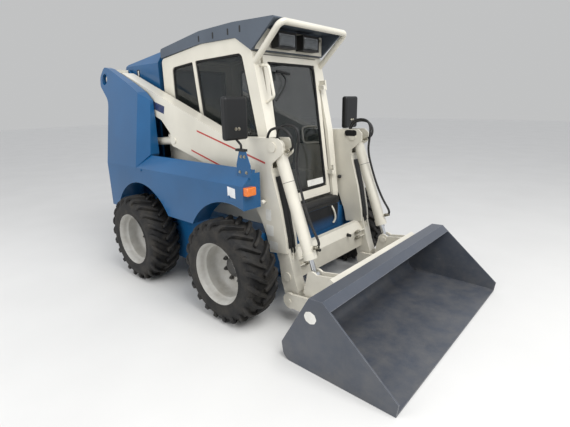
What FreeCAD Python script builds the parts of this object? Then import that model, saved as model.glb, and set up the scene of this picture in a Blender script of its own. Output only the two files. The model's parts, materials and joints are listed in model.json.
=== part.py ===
import FreeCAD, Part
import math
import os

# Skid steer loader with a bucket, in millimetres.
# X points forward, Y to the machine's left and Z up. While the pieces are made, x = 0 lies
# midway between the axles and z = 0 is the ground. Each piece is then moved along X by FRAME_SHIFT,
# so that the origin lies under the middle of the whole machine.

V = FreeCAD.Vector

# Driving dimensions: clearances
GAP = 5.5
SEAT_GAP = 0.3
PIN_GAP = 0.6

# Widths, half of each, from the cab outwards
CAB_HALF = 405.0
CAB_PLAY = 7.0
INNER_PLATE_Y = CAB_HALF + CAB_PLAY
INNER_PLATE_T = 18.0
ARM_PLAY = 10.0
ARM_W = 120.0
ARM_IN_Y = INNER_PLATE_Y + INNER_PLATE_T + ARM_PLAY
ARM_OUT_Y = ARM_IN_Y + ARM_W
ARM_Y = ARM_IN_Y + ARM_W / 2.0
LEG_W = 90.0
LEG_IN_Y = ARM_Y - LEG_W / 2.0
LEG_OUT_Y = ARM_Y + LEG_W / 2.0
TOWER_PLAY = 12.0
TOWER_IN_Y = ARM_OUT_Y + TOWER_PLAY
TUB_OVER = 40.0
TUB_HALF = ARM_OUT_Y + TUB_OVER
TYRE_PLAY = 34.0
TYRE_IN_Y = TUB_HALF + TYRE_PLAY
TYRE_W = 264.0
FENDER_REACH = 131.0
BODY_HALF = TYRE_IN_Y + FENDER_REACH
BUCKET_UNDER = 1.5
BUCKET_HALF = TYRE_IN_Y + TYRE_W - BUCKET_UNDER

# Wheels
WHEELBASE = 1179.0
TYRE_R = 386.5
RIM_R = 222.5
RIM_LIP = 12.0
AXLE_Z = TYRE_R
HUB_R = 78.0
AXLE_TUBE_R = 62.0

# Chassis
TUB_FRONT = 790.0
TUB_REAR = -1180.0
BELLY_Z = 205.0
CASE_TOP = 640.0
CASE_IN_Y = TUB_HALF - 250.0
PLATE = 8.0
FOOT_FLOOR_Z = 430.0
ENGINE_BAY_X = -640.0
BUMPER_X = -1300.0

# Body panels
FENDER_Z = 1016.0
FENDER_RISE = 100.0
FENDER_TOP_IN = BODY_HALF - 113.0
FENDER_FRONT = 765.0
FENDER_LOW = 650.0
ARCH_R = 495.0
SKIN = 8.0
TOWER_REAR = -1160.0
TOWER_CREASE = -620.0
TOWER_TOP_HALF = BODY_HALF - 120.0
EAR_R = 95.0

# Lift arms
PIVOT = (-1240.0, 1785.0)
ARM_PLATE = 10.0
ARM_PIN_R = 30.0
LIFT_PIN = (-287.0, 1250.0)
LIFT_BASE = (-1090.0, 1190.0)
LIFT_Y = ARM_Y
LIFT_BARREL_R = 34.0
LIFT_ROD_R = 19.0
LIFT_BARREL_END = -370.0

# Tilt linkage
TILT_TOP = (850.0, 1262.0)
TILT_EYE = (1172.0, 399.0)
TILT_Y = ARM_Y
TILT_BARREL_R = 43.0
TILT_ROD_R = 18.0
TILT_ROD_SHOWN = 125.0
CARRIER_PIN = (1000.0, 188.0)
PIN_R = 16.0
EYE_R = 34.0

# Bucket
BUCKET_PLATE = 10.0
LIP_X = 1989.0

# Cab
CAB_WALL = 28.0
CAB_REAR = -610.0
DOOR_HALF = CAB_HALF - 83.0
GLASS_T = 6.0
ROOF_TOP = 2108.0

# Chassis details
FOOT_REAR = 120.0
SILL_Z = 700.0
NOSE_BEVEL = 90.0
HUB_BACK_Y = TYRE_IN_Y + 34.0
FLANGE_OVER = 26.0
FLANGE_T = 14.0
ENGINE = (-1080.0, -700.0, 205.0, 770.0)
BUMPER_HALF = TUB_HALF - 40.0
BUMPER_LOW = 300.0
BUMPER_TOP = 520.0
BUMPER_CHAMFER = 40.0
BUMPER_SLOT_Y = BUMPER_HALF - 130.0
BUMPER_SLOT_W = 60.0
BUMPER_SLOT_DEEP = 60.0
BUMPER_SLOT_H = 90.0
TINY_EDGE = 0.01

# Wheel details
BEAD_IN = 4.0
BEAD_RISE = 10.0
SIDE_IN = 12.0
SIDE_MIDDLE = 62.0
SHOULDER = 34.0
SHOULDER_IN = 12.0
CROWN = 7.0
RIM_WALL = 6.0
DISC_Y = TYRE_IN_Y + 66.0
DISC_OUT_Y = DISC_Y + 42.0
DISC_T = 10.0
DISC_STEP_R = 132.0
HUB_FACE_Y = DISC_Y + 38.0
HUB_NOSE_Y = HUB_FACE_Y + 14.0
HUB_CAP_R = 60.0
HAND_HOLES = 8
HAND_HOLE_AT = 112.0
HAND_HOLE_R = 9.0

# Panel details
TOWER_LOW = 600.0
TOWER_EAR_FOOT = 1590.0
TOWER_PEAK = (-1160.0, 1877.0)
TOWER_SHOULDER = (-810.0, 1737.0)
TOWER_NOSE = (-632.0, 1655.0)
TOWER_FRONT = (-542.0, 1585.0)
TOWER_FOOT = (-530.0, 1125.0)
REAR_PLATE_TOP = 1560.0
EAR_CUP_R = 50.0
EAR_CUP_Y = TOWER_IN_Y + 26.0
EAR_CUP_T = 12.0
INNER_PLATE_FRONT = -700.0
FENDER_BACK = -620.0
FENDER_RETURN = 24.0
TOWER_FOOT_Y = TUB_HALF + 60.0
INNER_PLATE_TOP = 1740.0
FENDER_NOSE = 20.0

# Arm details
ARM_END_R = 86.0
ARM_TOP = ((-1160.0, 1874.0), (397.0, 1306.0), (897.0, 1322.0))
ARM_ELBOW = ((937.0, 1290.0), (937.0, 1222.0), (841.0, 1150.0), (838.0, 1088.0))
ARM_SHIN = ((912.0, 838.0), (954.0, 632.0), (964.0, 530.0))
ARM_CALF = ((806.0, 506.0), (779.0, 616.0), (724.0, 742.0), (631.0, 873.0), (470.0, 1008.0))
ARM_BELLY = ((256.0, 1052.0), (-262.0, 1190.0), (-345.0, 1205.0), (-345.0, 1310.0), (-462.0, 1418.0),
             (-700.0, 1503.0), (-1180.0, 1690.0))
LEG_BACK = ((822.0, 585.0), (880.0, 440.0), (898.0, 300.0))
LEG_FRONT = ((1052.0, 262.0), (1018.0, 352.0), (955.0, 585.0))
LEG_END_R = 62.0
CLEVIS_BACK = 762.0
CLEVIS_LOW = 1118.0
BOSS_R = 34.0
BOSS_OUT = 8.0
SLOT_HALF = 48.0
EYE_HALF = 22.0
LIFT_SLOT = (-350.0, -222.0, 1180.0, 1316.0)
CROSS = ((885.0, 300.0), (965.0, 300.0), (968.0, 455.0), (926.0, 522.0), (885.0, 522.0))
CROSS_WALL = 8.0
LIMB_SPOT = (954.0, 349.0)

# Cylinder details
LIFT_BASE_R = 36.0
GLAND_LEN = 46.0
GLAND_OVER = 5.0
BARREL_WALL = 7.0
ROD_IN = 60.0
LIFT_STROKE = 594.0
TILT_STROKE = 380.0
BASE_LUG = 20.0

# Carrier details
CARRIER_PLATES = ((ARM_Y - 80.0, ARM_Y - 58.0), (ARM_Y + 58.0, ARM_Y + 80.0))
CARRIER_END_R = 58.0
EAR_GAP = 28.0
EAR_PLATE = 14.0
CARRIER_EAR_R = 46.0
FRAME_BACK = 42.0
CARRIER_HALF = ARM_Y + 100.0
CARRIER_WINDOW = LEG_IN_Y - 60.0
CARRIER_CHEEK = 150.0
FRAME_TALL = 390.0
EAR_FOOT_X = 1096.0
EAR_FOOT_Z = 268.0
PORT_R = 13.0
PORT_OUT = 20.0
PIN_HEAD_R = 26.0

# Bucket details
BUCKET = ((1418.5, 481.0), (1513.0, 487.0), (LIP_X, 79.0), (1980.0, 0.0), (1223.0, 0.0), (1205.0, 114.0))
FLANGE_DROP = 42.0
MOUTH_ROOM = 300.0
EDGE_DEEP = 130.0

# Cab details
CAB_LOW = CASE_TOP + SEAT_GAP
CAB_SIDE = ((CAB_REAR, CAB_LOW), (CAB_REAR, 1930.0, 40), (-40.0, 2000.0, 120), (370.0, 2000.0, 60),
            (530.0, 1900.0, 30),
            (668.0, 1310.0, 300), (735.0, 780.0), (735.0, CAB_LOW))
WINDOW_BACK = ((-460.0, 1180.0, 40), (-460.0, 1852.0, 40), (-166.0, 1878.0, 16), (-70.0, 1180.0, 16))
WINDOW_FRONT = ((-34.0, 1180.0, 16), (-130.0, 1882.0, 16), (424.0, 1896.0, 50), (566.0, 1310.0, 60),
                (584.0, 1180.0, 30))
GLASS_Y = CAB_HALF - 19.0
DOOR_OPEN_HALF = CAB_HALF - 75.0
DOOR_OPEN_TOP = 1888.0
REAR_LIGHT = (CAB_HALF - 105.0, 1240.0, 1850.0)
HATCH = (-540.0, 330.0, CAB_HALF - 75.0)
DOOR_FACE = ((702.0, 838.0), (553.0, 1880.0))
DOOR_T = 26.0
DOOR_Z = (780.0, 1878.0)
DOOR_RIM = 44.0
DOOR_BOTTOM_BAR = 66.0
HINGE_AHEAD = 50.0
HINGE_Y = DOOR_HALF + 20.0
HINGE_R = 9.0
HINGE_LEN = 40.0
HINGE_Z = (980.0, 1680.0)
ROOF_HALF = CAB_HALF + 11.0
ROOF_CHEEK = 18.0
ROOF_SIDE = ((-604.0, 1938.0), (-604.0, 2012.0, 30), (-40.0, 2093.0, 400), (350.0, 2106.0, 300),
             (772.0, 2094.0, 8),
             (533.0, 1903.0, 6), (371.0, 2000.3, 60), (-40.0, 2000.3, 120))
VISOR_BACK = 545.0
VISOR_T = 22.0
BROW_R = 22.0
BROW_Y = CAB_HALF - 20.0
BROW_LOW = (548.0, 1836.0)
BROW_HIGH = (792.0, 2062.0)
BROW_BEND = 46.0
HEADER = (8.0, CAB_HALF - 17.0, 1912.0, 2056.0)
LAMP = (84.0, 40.0, CAB_HALF - 165.0, 1925.0, 2036.0)

# Seat and controls
SEAT_BASE = (-330.0, 150.0, CAB_HALF - 180.0, 800.0)
CUSHION = (-300.0, 200.0, CAB_HALF - 170.0, 96.0)
BACKREST = (-420.0, -300.0, CAB_HALF - 180.0, 1400.0)
LEVER_R = 11.0
LEVER_Y = CAB_HALF - 105.0
LEVER_X = 330.0
LEVER_TOP = 1230.0
KNOB_R = 26.0
CONSOLE = (150.0, 480.0, CAB_HALF - 65.0, 950.0)
CONSOLE_IN = 70.0
KNOB_H = 100.0
BOOT = (44.0, 16.0, 60.0)
LEVER_LEAN = 30.0

# Hood and tailgate
HOOD_FRONT = -690.0
HOOD_REAR = -1312.0
HOOD_HALF = INNER_PLATE_Y - 14.0
HOOD_LOW = 1600.0
HOOD_CREASE = 1910.0
HOOD_TOP_HALF = HOOD_HALF - 68.0
HOOD_TOP = (2014.0, 1926.0)
HOOD_HINGE = (-660.0, 1985.0)
BAY_RAIL = 36.0
BAY_LOW = 1540.0
BAY_REAR = -1285.0
GATE = (-1320.0, -1292.0, INNER_PLATE_Y + 16.0, 545.0, 1578.0)
GATE_HINGE = (-1306.0, INNER_PLATE_Y + 34.0)
GATE_HINGE_Z = (700.0, 1440.0)
GATE_SLOTS = 9
GATE_SLOT = (300.0, 26.0, 1000.0, 56.0)
STEP = (700.0, 800.0, DOOR_OPEN_HALF - 1.0, 62.0)

# Mirrors and small pieces
MIRROR = (622.0, 676.0, BODY_HALF - 163.0, BODY_HALF + 35.0, 1312.0, 1590.0)
MIRROR_ROD_R = 8.0
MIRROR_FOOT = (700.0, BODY_HALF - 65.0, 1241.0)
BRACKET = ((650.0, 1058.0), (780.0, 1058.0), (780.0, 1150.0), (742.0, 1240.0), (680.0, 1240.0),
           (650.0, 1150.0))
BRACKET_T = 8.0
HANDLE_R = 11.0
HANDLE = ((556.0, 1808.0), (636.0, 1800.0), (684.0, 1590.0), (615.0, 1550.0))
HANDLE_Y = DOOR_HALF + 26.0
INDICATOR = (40.0, 84.0, 58.0, 980.0)
REAR_LAMP = (34.0, 90.0, 150.0, 1010.0, 670.0)

# Hood hinge, posts and door hinge details
FLOOR_GAP_X = 700.0
CAB_FRONT_CUT = 420.0
STEP_Z = SILL_Z + SEAT_GAP
HOOD_HINGE_Y = 300.0
HOOD_HINGE_W = 24.0
HOOD_HINGE_R = 14.0
HOOD_PIN_R = 6.0
POST_W = 20.0
POST_D = 30.0
BAY_FRONT = -641.0
HINGE_ROOT = 14.0
HINGE_ARM_Y = DOOR_HALF - 16.0
STRAP = 10.0
CASE_FRONT = 752.0
HINGE_TRIM = 3.0

# Frame
REAR_X = PIVOT[0] - EAR_R
FRAME_SHIFT = -(REAR_X + LIP_X) / 2.0
AXLES = (-WHEELBASE / 2.0, WHEELBASE / 2.0)
TINY = 1e-6
REACH = 3000.0


# Helpers

def emit(node, shape):
    """Move a finished piece into the final frame and write it out."""
    placed = shape.copy()
    placed.translate(V(FRAME_SHIFT, 0, 0))
    placed.exportStep("parts/" + node + ".step")
    print(node, len(placed.Solids), "solids", round(placed.Volume / 1e6, 3), "l")


def wire(points, put):
    """Closed outline from (a, b) or (a, b, radius) points, corners rounded by tangent arcs."""
    starts = []
    ends = []
    arcs = []
    count = len(points)
    for i in range(count):
        here = put(*points[i][:2])
        radius = points[i][2] if len(points[i]) > 2 else 0.0
        if radius <= 0.0:
            starts.append(here)
            ends.append(here)
            arcs.append(None)
            continue
        back = (put(*points[i - 1][:2]) - here).normalize()
        ahead = (put(*points[(i + 1) % count][:2]) - here).normalize()
        half = back.getAngle(ahead) / 2.0
        reach = radius / math.tan(half)
        bisector = (back + ahead).normalize()
        middle = here + bisector * (radius / math.sin(half) - radius)
        starts.append(here + back * reach)
        ends.append(here + ahead * reach)
        arcs.append(Part.Arc(starts[-1], middle, ends[-1]).toShape())
    outline = []
    for i in range(count):
        if arcs[i] is not None:
            outline.append(arcs[i])
        target = starts[(i + 1) % count]
        if (target - ends[i]).Length > TINY:
            outline.append(Part.LineSegment(ends[i], target).toShape())
    return Part.Wire(outline)


def plate(points, y0, y1):
    """Plate with an XZ outline that reaches from y0 to y1."""
    low = min(y0, y1)
    face = Part.Face(wire(points, lambda x, z: V(x, low, z)))
    return face.extrude(V(0, abs(y1 - y0), 0))


def section_yz(points, x0, x1):
    """Solid with a YZ outline that reaches from x0 to x1."""
    low = min(x0, x1)
    face = Part.Face(wire(points, lambda y, z: V(low, y, z)))
    return face.extrude(V(abs(x1 - x0), 0, 0))


def section_xy(points, z0, z1):
    """Solid with an XY outline that reaches from z0 to z1."""
    low = min(z0, z1)
    face = Part.Face(wire(points, lambda x, y: V(x, y, low)))
    return face.extrude(V(0, 0, abs(z1 - z0)))


def block(x0, x1, y0, y1, z0, z1):
    """Box between two corners."""
    return Part.makeBox(abs(x1 - x0), abs(y1 - y0), abs(z1 - z0), V(min(x0, x1), min(y0, y1), min(z0, z1)))


def rod(start, end, radius):
    """Round bar between two points."""
    axis = V(*end) - V(*start)
    return Part.makeCylinder(radius, axis.Length, V(*start), axis)


def pin_y(place, radius, y0, y1):
    """Round bar along Y at an (x, z) place."""
    low = min(y0, y1)
    return Part.makeCylinder(radius, abs(y1 - y0), V(place[0], low, place[1]), V(0, 1, 0))


def pipe(points, radius, bend):
    """Round pipe along straight runs joined by tangent arcs."""
    edges = []
    last_end = V(*points[0])
    for i in range(1, len(points) - 1):
        here = V(*points[i])
        back = (V(*points[i - 1]) - here).normalize()
        ahead = (V(*points[i + 1]) - here).normalize()
        half = back.getAngle(ahead) / 2.0
        reach = bend / math.tan(half)
        bisector = (back + ahead).normalize()
        first = here + back * reach
        last = here + ahead * reach
        middle = here + bisector * (bend / math.sin(half) - bend)
        edges.append(Part.LineSegment(last_end, first).toShape())
        edges.append(Part.Arc(first, middle, last).toShape())
        last_end = last
    edges.append(Part.LineSegment(last_end, V(*points[-1])).toShape())
    spine = Part.Wire(edges)
    direction = V(*points[1]) - V(*points[0])
    ring = Part.Wire([Part.makeCircle(radius, V(*points[0]), direction)])
    return spine.makePipeShell([ring], True, True)


def fuse(shapes):
    """One solid from several that share faces or overlap."""
    whole = shapes[0]
    for other in shapes[1:]:
        whole = whole.fuse(other)
    return whole.removeSplitter()


def cut(shape, tools):
    """Shape with all tools taken away."""
    for tool in tools:
        shape = shape.cut(tool)
    return shape


def other_side(shape):
    """The same piece on the machine's other side."""
    return shape.mirror(V(0, 0, 0), V(0, 1, 0))


def pair(shape):
    """A piece on both sides of the machine, as two solids that do not touch."""
    return Part.makeCompound([shape, other_side(shape)])


def direction(start, end):
    """Unit vector in XZ from one (x, z) place to another."""
    length = math.hypot(end[0] - start[0], end[1] - start[1])
    return ((end[0] - start[0]) / length, (end[1] - start[1]) / length)


def along(start, end, distance):
    """The (x, z) place that lies a distance from start on the way to end."""
    way = direction(start, end)
    return (start[0] + way[0] * distance, start[1] + way[1] * distance)


os.makedirs("parts", exist_ok=True)


def inset_plate(points, inset, y0, y1):
    """Plate whose XZ outline is drawn in by an inset all round."""
    low = min(y0, y1)
    face = Part.Face(wire(points, lambda x, z: V(x, low, z)))
    return face.makeOffset2D(-inset).extrude(V(0, abs(y1 - y0), 0))


def beyond(a, b, c, toward):
    """Large block on that side of the plane through three points where the point toward lies."""
    normal = (V(*b) - V(*a)).cross(V(*c) - V(*a)).normalize()
    if normal.dot(V(*toward) - V(*a)) < 0:
        normal = normal * -1.0
    side = (V(*b) - V(*a)).normalize()
    across = normal.cross(side)
    corners = [V(*a) + side * (REACH * s) + across * (REACH * t)
               for s, t in ((-1, -1), (1, -1), (1, 1), (-1, 1))]
    face = Part.Face(Part.makePolygon(corners + corners[:1]))
    return face.extrude(normal * REACH)


# Chassis

def chassis_tub():
    """Lower tub between the chain cases: belly plate, foot well with its front panel, deck and rear plate."""
    pieces = [block(TUB_REAR, TUB_FRONT, -CASE_IN_Y, CASE_IN_Y, BELLY_Z, BELLY_Z + PLATE)]
    pieces.append(block(FOOT_REAR, TUB_FRONT, -CASE_IN_Y, CASE_IN_Y, FOOT_FLOOR_Z, FOOT_FLOOR_Z + PLATE))
    nose = [(TUB_FRONT - PLATE, BELLY_Z), (TUB_FRONT, BELLY_Z), (TUB_FRONT, SILL_Z),
            (TUB_FRONT - PLATE, SILL_Z)]
    pieces.append(plate(nose, -CASE_IN_Y, CASE_IN_Y))
    pieces.append(block(FOOT_REAR - PLATE, FOOT_REAR, -CASE_IN_Y, CASE_IN_Y, BELLY_Z, CASE_TOP))
    pieces.append(block(ENGINE_BAY_X, FOOT_REAR, -CASE_IN_Y, CASE_IN_Y, CASE_TOP - PLATE, CASE_TOP))
    pieces.append(block(TUB_REAR, TUB_REAR + PLATE, -CASE_IN_Y, CASE_IN_Y, BELLY_Z, CASE_TOP))
    return fuse(pieces)


def chain_case():
    """Closed case beside the tub that holds one side's drive chains, with its bevelled nose."""
    case = block(TUB_REAR, CASE_FRONT, CASE_IN_Y, TUB_HALF, BELLY_Z, CASE_TOP)
    bevel = [(CASE_FRONT - NOSE_BEVEL, BELLY_Z - 1), (CASE_FRONT + 1, BELLY_Z - 1),
             (CASE_FRONT + 1, BELLY_Z + NOSE_BEVEL)]
    return case.cut(plate(bevel, CASE_IN_Y - 1, TUB_HALF + 1))


def axle_tubes():
    """Four axle housings with their bolted flanges on the chain cases."""
    tubes = []
    for x in AXLES:
        tube = pin_y((x, AXLE_Z), AXLE_TUBE_R, TUB_HALF, HUB_BACK_Y - SEAT_GAP)
        flange = pin_y((x, AXLE_Z), AXLE_TUBE_R + FLANGE_OVER, TUB_HALF, TUB_HALF + FLANGE_T)
        housing = tube.fuse(flange).removeSplitter()
        tubes.append(housing)
        tubes.append(other_side(housing))
    return Part.makeCompound(tubes)


def engine_block():
    """The engine and pumps as one plain block on the belly plate, behind the cab."""
    return block(ENGINE[0], ENGINE[1], -ENGINE[2], ENGINE[2], BELLY_Z + PLATE, ENGINE[3])


def rear_bumper():
    """Rear crossbeam with its two tie-down slots, below the tailgate."""
    beam = block(BUMPER_X, TUB_REAR, -BUMPER_HALF, BUMPER_HALF, BUMPER_LOW, BUMPER_TOP)
    beam = beam.makeChamfer(BUMPER_CHAMFER, [e for e in beam.Edges
                                             if is_vertical(e) and e.CenterOfMass.x < BUMPER_X + 1])
    slots = []
    for side in (-1, 1):
        y = side * BUMPER_SLOT_Y
        slots.append(block(BUMPER_X - 1, BUMPER_X + BUMPER_SLOT_DEEP, y - BUMPER_SLOT_W / 2, y
                           + BUMPER_SLOT_W / 2,
                           BUMPER_LOW - 1, BUMPER_LOW + BUMPER_SLOT_H))
    return cut(beam, slots)


def is_vertical(edge):
    """Whether a straight edge runs along Z."""
    box = edge.BoundBox
    return box.XLength < TINY_EDGE and box.YLength < TINY_EDGE and box.ZLength > TINY_EDGE


emit("chassis_tub", chassis_tub())
emit("chain_cases", pair(chain_case()))
emit("axle_tubes", axle_tubes())
emit("engine_block", engine_block())
emit("rear_bumper", rear_bumper())


# Wheels

def tyre(x):
    """Tyre with its rounded shoulders, hollow on the bead side where the rim sits."""
    out = TYRE_IN_Y + TYRE_W
    half = TYRE_W / 2.0
    middle = TYRE_IN_Y + half
    tread = TYRE_R
    outline = [
        (RIM_R + SEAT_GAP, TYRE_IN_Y + BEAD_IN), (RIM_R + BEAD_RISE, TYRE_IN_Y + SIDE_IN),
        (RIM_R + SIDE_MIDDLE, TYRE_IN_Y), (tread - SHOULDER, TYRE_IN_Y + SHOULDER_IN),
        (tread - CROWN, TYRE_IN_Y + SHOULDER), (tread, middle),
        (tread - CROWN, out - SHOULDER), (tread - SHOULDER, out - SHOULDER_IN),
        (RIM_R + SIDE_MIDDLE, out), (RIM_R + BEAD_RISE, out - SIDE_IN),
        (RIM_R + SEAT_GAP, out - BEAD_IN),
    ]
    ring = Part.Face(wire(outline, lambda r, y: V(r, y, 0))).revolve(V(0, 0, 0), V(0, 1, 0), 360)
    ring.translate(V(x, 0, AXLE_Z))
    return ring


def rim(x):
    """Deep dished steel rim: barrel with its lips, stepped disc, hub with its wheel bolts' circle."""
    out = TYRE_IN_Y + TYRE_W - BEAD_IN
    lip_in = TYRE_IN_Y + BEAD_IN
    seat = RIM_R - RIM_WALL
    outline = [
        (0, HUB_BACK_Y), (HUB_R, HUB_BACK_Y), (HUB_R, DISC_Y), (DISC_STEP_R, DISC_Y),
        (seat - RIM_WALL, DISC_OUT_Y),
        (seat - RIM_WALL, lip_in), (RIM_R, lip_in), (RIM_R, lip_in + RIM_LIP), (seat, lip_in + 2 * RIM_LIP),
        (seat, out - 2 * RIM_LIP), (RIM_R, out - RIM_LIP), (RIM_R, out), (RIM_R - RIM_LIP, out),
        (seat - RIM_WALL, out - 2 * RIM_LIP), (seat - RIM_WALL, DISC_OUT_Y + DISC_T),
        (DISC_STEP_R, DISC_Y + DISC_T), (HUB_R, DISC_Y + DISC_T), (HUB_R, HUB_FACE_Y),
        (HUB_CAP_R, HUB_NOSE_Y),
        (0, HUB_NOSE_Y),
    ]
    disc = Part.Face(wire(outline, lambda r, y: V(r, y, 0))).revolve(V(0, 0, 0), V(0, 1, 0), 360)
    holes = []
    for i in range(HAND_HOLES):
        turn = 2.0 * math.pi * i / HAND_HOLES
        place = (HAND_HOLE_AT * math.cos(turn), HAND_HOLE_AT * math.sin(turn))
        holes.append(pin_y(place, HAND_HOLE_R, DISC_Y - 1 - DISC_T, DISC_OUT_Y + 2 * DISC_T))
    disc = cut(disc, holes)
    disc.translate(V(x, 0, AXLE_Z))
    return disc


for end, x in zip(("rear", "front"), AXLES):
    emit("tyre_" + end + "_left", tyre(x))
    emit("tyre_" + end + "_right", other_side(tyre(x)))
    emit("rim_" + end + "_left", rim(x))
    emit("rim_" + end + "_right", other_side(rim(x)))


# Body panels

def lean_y(z, inset):
    """Half width of the tower's outer skin at a height: upright below the fender line, leaning in above."""
    if z <= FENDER_Z:
        return BODY_HALF - inset
    return BODY_HALF - inset - (BODY_HALF - TOWER_TOP_HALF) * (z - FENDER_Z) / (PIVOT[1] - FENDER_Z)


def tower_block(inset, inner_y):
    """Tower's outer form, or with an inset the hollow inside it."""
    top = PIVOT[1] + 2 * EAR_R
    section = section_yz([(inner_y, 0), (lean_y(0, inset), 0), (lean_y(FENDER_Z, inset), FENDER_Z),
                          (lean_y(top, inset), top), (inner_y, top)], REAR_X - 1, 0)
    outline = [
        (TOWER_REAR, TOWER_LOW), (TOWER_CREASE, TOWER_LOW), (TOWER_CREASE, FENDER_Z), TOWER_FOOT,
        TOWER_FRONT,
        (TOWER_NOSE[0], TOWER_NOSE[1], 60), TOWER_SHOULDER, TOWER_PEAK + (60,),
        (PIVOT[0] - EAR_R * 0.2, PIVOT[1] + EAR_R * 1.22, 60), (REAR_X, PIVOT[1] + EAR_R * 0.3, 60),
        (REAR_X + EAR_R * 0.1, PIVOT[1] - EAR_R * 0.6, 60), (TOWER_REAR, TOWER_EAR_FOOT, 120),
    ]
    form = inset_plate(outline, inset, inner_y, BODY_HALF) if inset else plate(outline, inner_y, BODY_HALF)
    form = form.common(section)
    crease_low = (TOWER_CREASE - inset, BODY_HALF, FENDER_Z)
    crease_high = (TOWER_CREASE - inset, lean_y(TOWER_NOSE[1], 0), TOWER_NOSE[1])
    front_low = (TOWER_FOOT[0] - inset, TOWER_FOOT_Y, TOWER_FOOT[1])
    form = form.cut(beyond(crease_low, crease_high, front_low, (0, REACH, FENDER_Z)))
    return form.cut(pin_y((AXLES[0], AXLE_Z), ARCH_R + inset, 0, REACH))


def upright():
    """Tower: skinned pan outside the arm, rear plate, inner plate with the second ear, pin cup."""
    pan = tower_block(0, TOWER_IN_Y).cut(tower_block(SKIN, TOWER_IN_Y - 1))
    rear_plate = block(TOWER_REAR, TOWER_REAR + SKIN, INNER_PLATE_Y, TOWER_IN_Y + SKIN, CASE_TOP,
                       REAR_PLATE_TOP)
    inner = plate([
        (BAY_REAR, CASE_TOP + SEAT_GAP), (INNER_PLATE_FRONT, CASE_TOP + SEAT_GAP),
        (INNER_PLATE_FRONT, INNER_PLATE_TOP - 160.0, 80), (TOWER_REAR + 180.0, INNER_PLATE_TOP, 80),
        (PIVOT[0] + EAR_R * 0.5, PIVOT[1] + EAR_R * 1.02, 60),
        (PIVOT[0] - EAR_R * 1.0, PIVOT[1] + EAR_R * 1.0, 90),
        (REAR_X, PIVOT[1] - EAR_R * 0.9, 60), (BAY_REAR, TOWER_EAR_FOOT, 40),
    ], INNER_PLATE_Y, INNER_PLATE_Y + INNER_PLATE_T)
    cup_out = lean_y(PIVOT[1], 0) - SKIN / 2.0
    cup = pin_y(PIVOT, EAR_CUP_R + SKIN, EAR_CUP_Y, cup_out)
    base_pin = pin_y(LIFT_BASE, PIN_R, INNER_PLATE_Y, LIFT_Y + EYE_HALF + BOSS_OUT)
    base_boss = pin_y(LIFT_BASE, BOSS_R, INNER_PLATE_Y, LIFT_Y - LIFT_BARREL_R - GAP)
    body = fuse([pan, rear_plate, inner, cup, base_pin, base_boss])
    recess = pin_y(PIVOT, EAR_CUP_R, EAR_CUP_Y + EAR_CUP_T, BODY_HALF)
    bore = pin_y(PIVOT, ARM_PIN_R + PIN_GAP, 0, BODY_HALF)
    case = block(REAR_X, 0, 0, TUB_HALF + SEAT_GAP, 0, CASE_TOP + SEAT_GAP)
    return cut(body, [recess, bore, case])


def fender_block(inset, inner_y):
    """Fender's outer form, or with an inset the hollow inside it."""
    top = FENDER_Z + FENDER_RISE
    section = section_yz([(inner_y, 0), (BODY_HALF - inset, 0), (BODY_HALF - inset, FENDER_Z - inset * 0.4),
                          (FENDER_TOP_IN - inset * 0.4, top - inset), (inner_y, top - inset)],
                         FENDER_BACK - 1, FENDER_FRONT + 1)
    outline = [(FENDER_BACK + SEAT_GAP + inset, FENDER_LOW + inset),
               (FENDER_FRONT - inset, FENDER_LOW + inset),
               (FENDER_FRONT - inset, top), (FENDER_FRONT - FENDER_NOSE - inset, top + 1),
               (FENDER_BACK + SEAT_GAP + inset, top + 1)]
    form = plate(outline, inner_y, BODY_HALF).common(section)
    for x in AXLES:
        form = form.cut(pin_y((x, AXLE_Z), ARCH_R + inset, 0, REACH))
    return form


def fender():
    """Fender over and between the wheels: outer side, sloped top strip with its return, wheel wells."""
    pan = fender_block(0, TUB_HALF + SEAT_GAP).cut(fender_block(SKIN, TUB_HALF - 1))
    above = block(FENDER_BACK - 1, FENDER_FRONT + 1, 0, FENDER_TOP_IN - SKIN,
                  FENDER_Z + FENDER_RISE - FENDER_RETURN, FENDER_Z + FENDER_RISE + 1)
    tower_foot = plate([(FENDER_BACK - 1, FENDER_Z - 1), (TOWER_CREASE, FENDER_Z - SEAT_GAP),
                        (TOWER_FOOT[0] + SEAT_GAP, TOWER_FOOT[1]), (TOWER_FOOT[0] + SEAT_GAP, REACH),
                        (FENDER_BACK - 1, REACH)], 0, BODY_HALF + 1)
    return cut(pan, [above, tower_foot])


emit("fenders", pair(fender()))


# Lift arms and the cylinders

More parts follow.
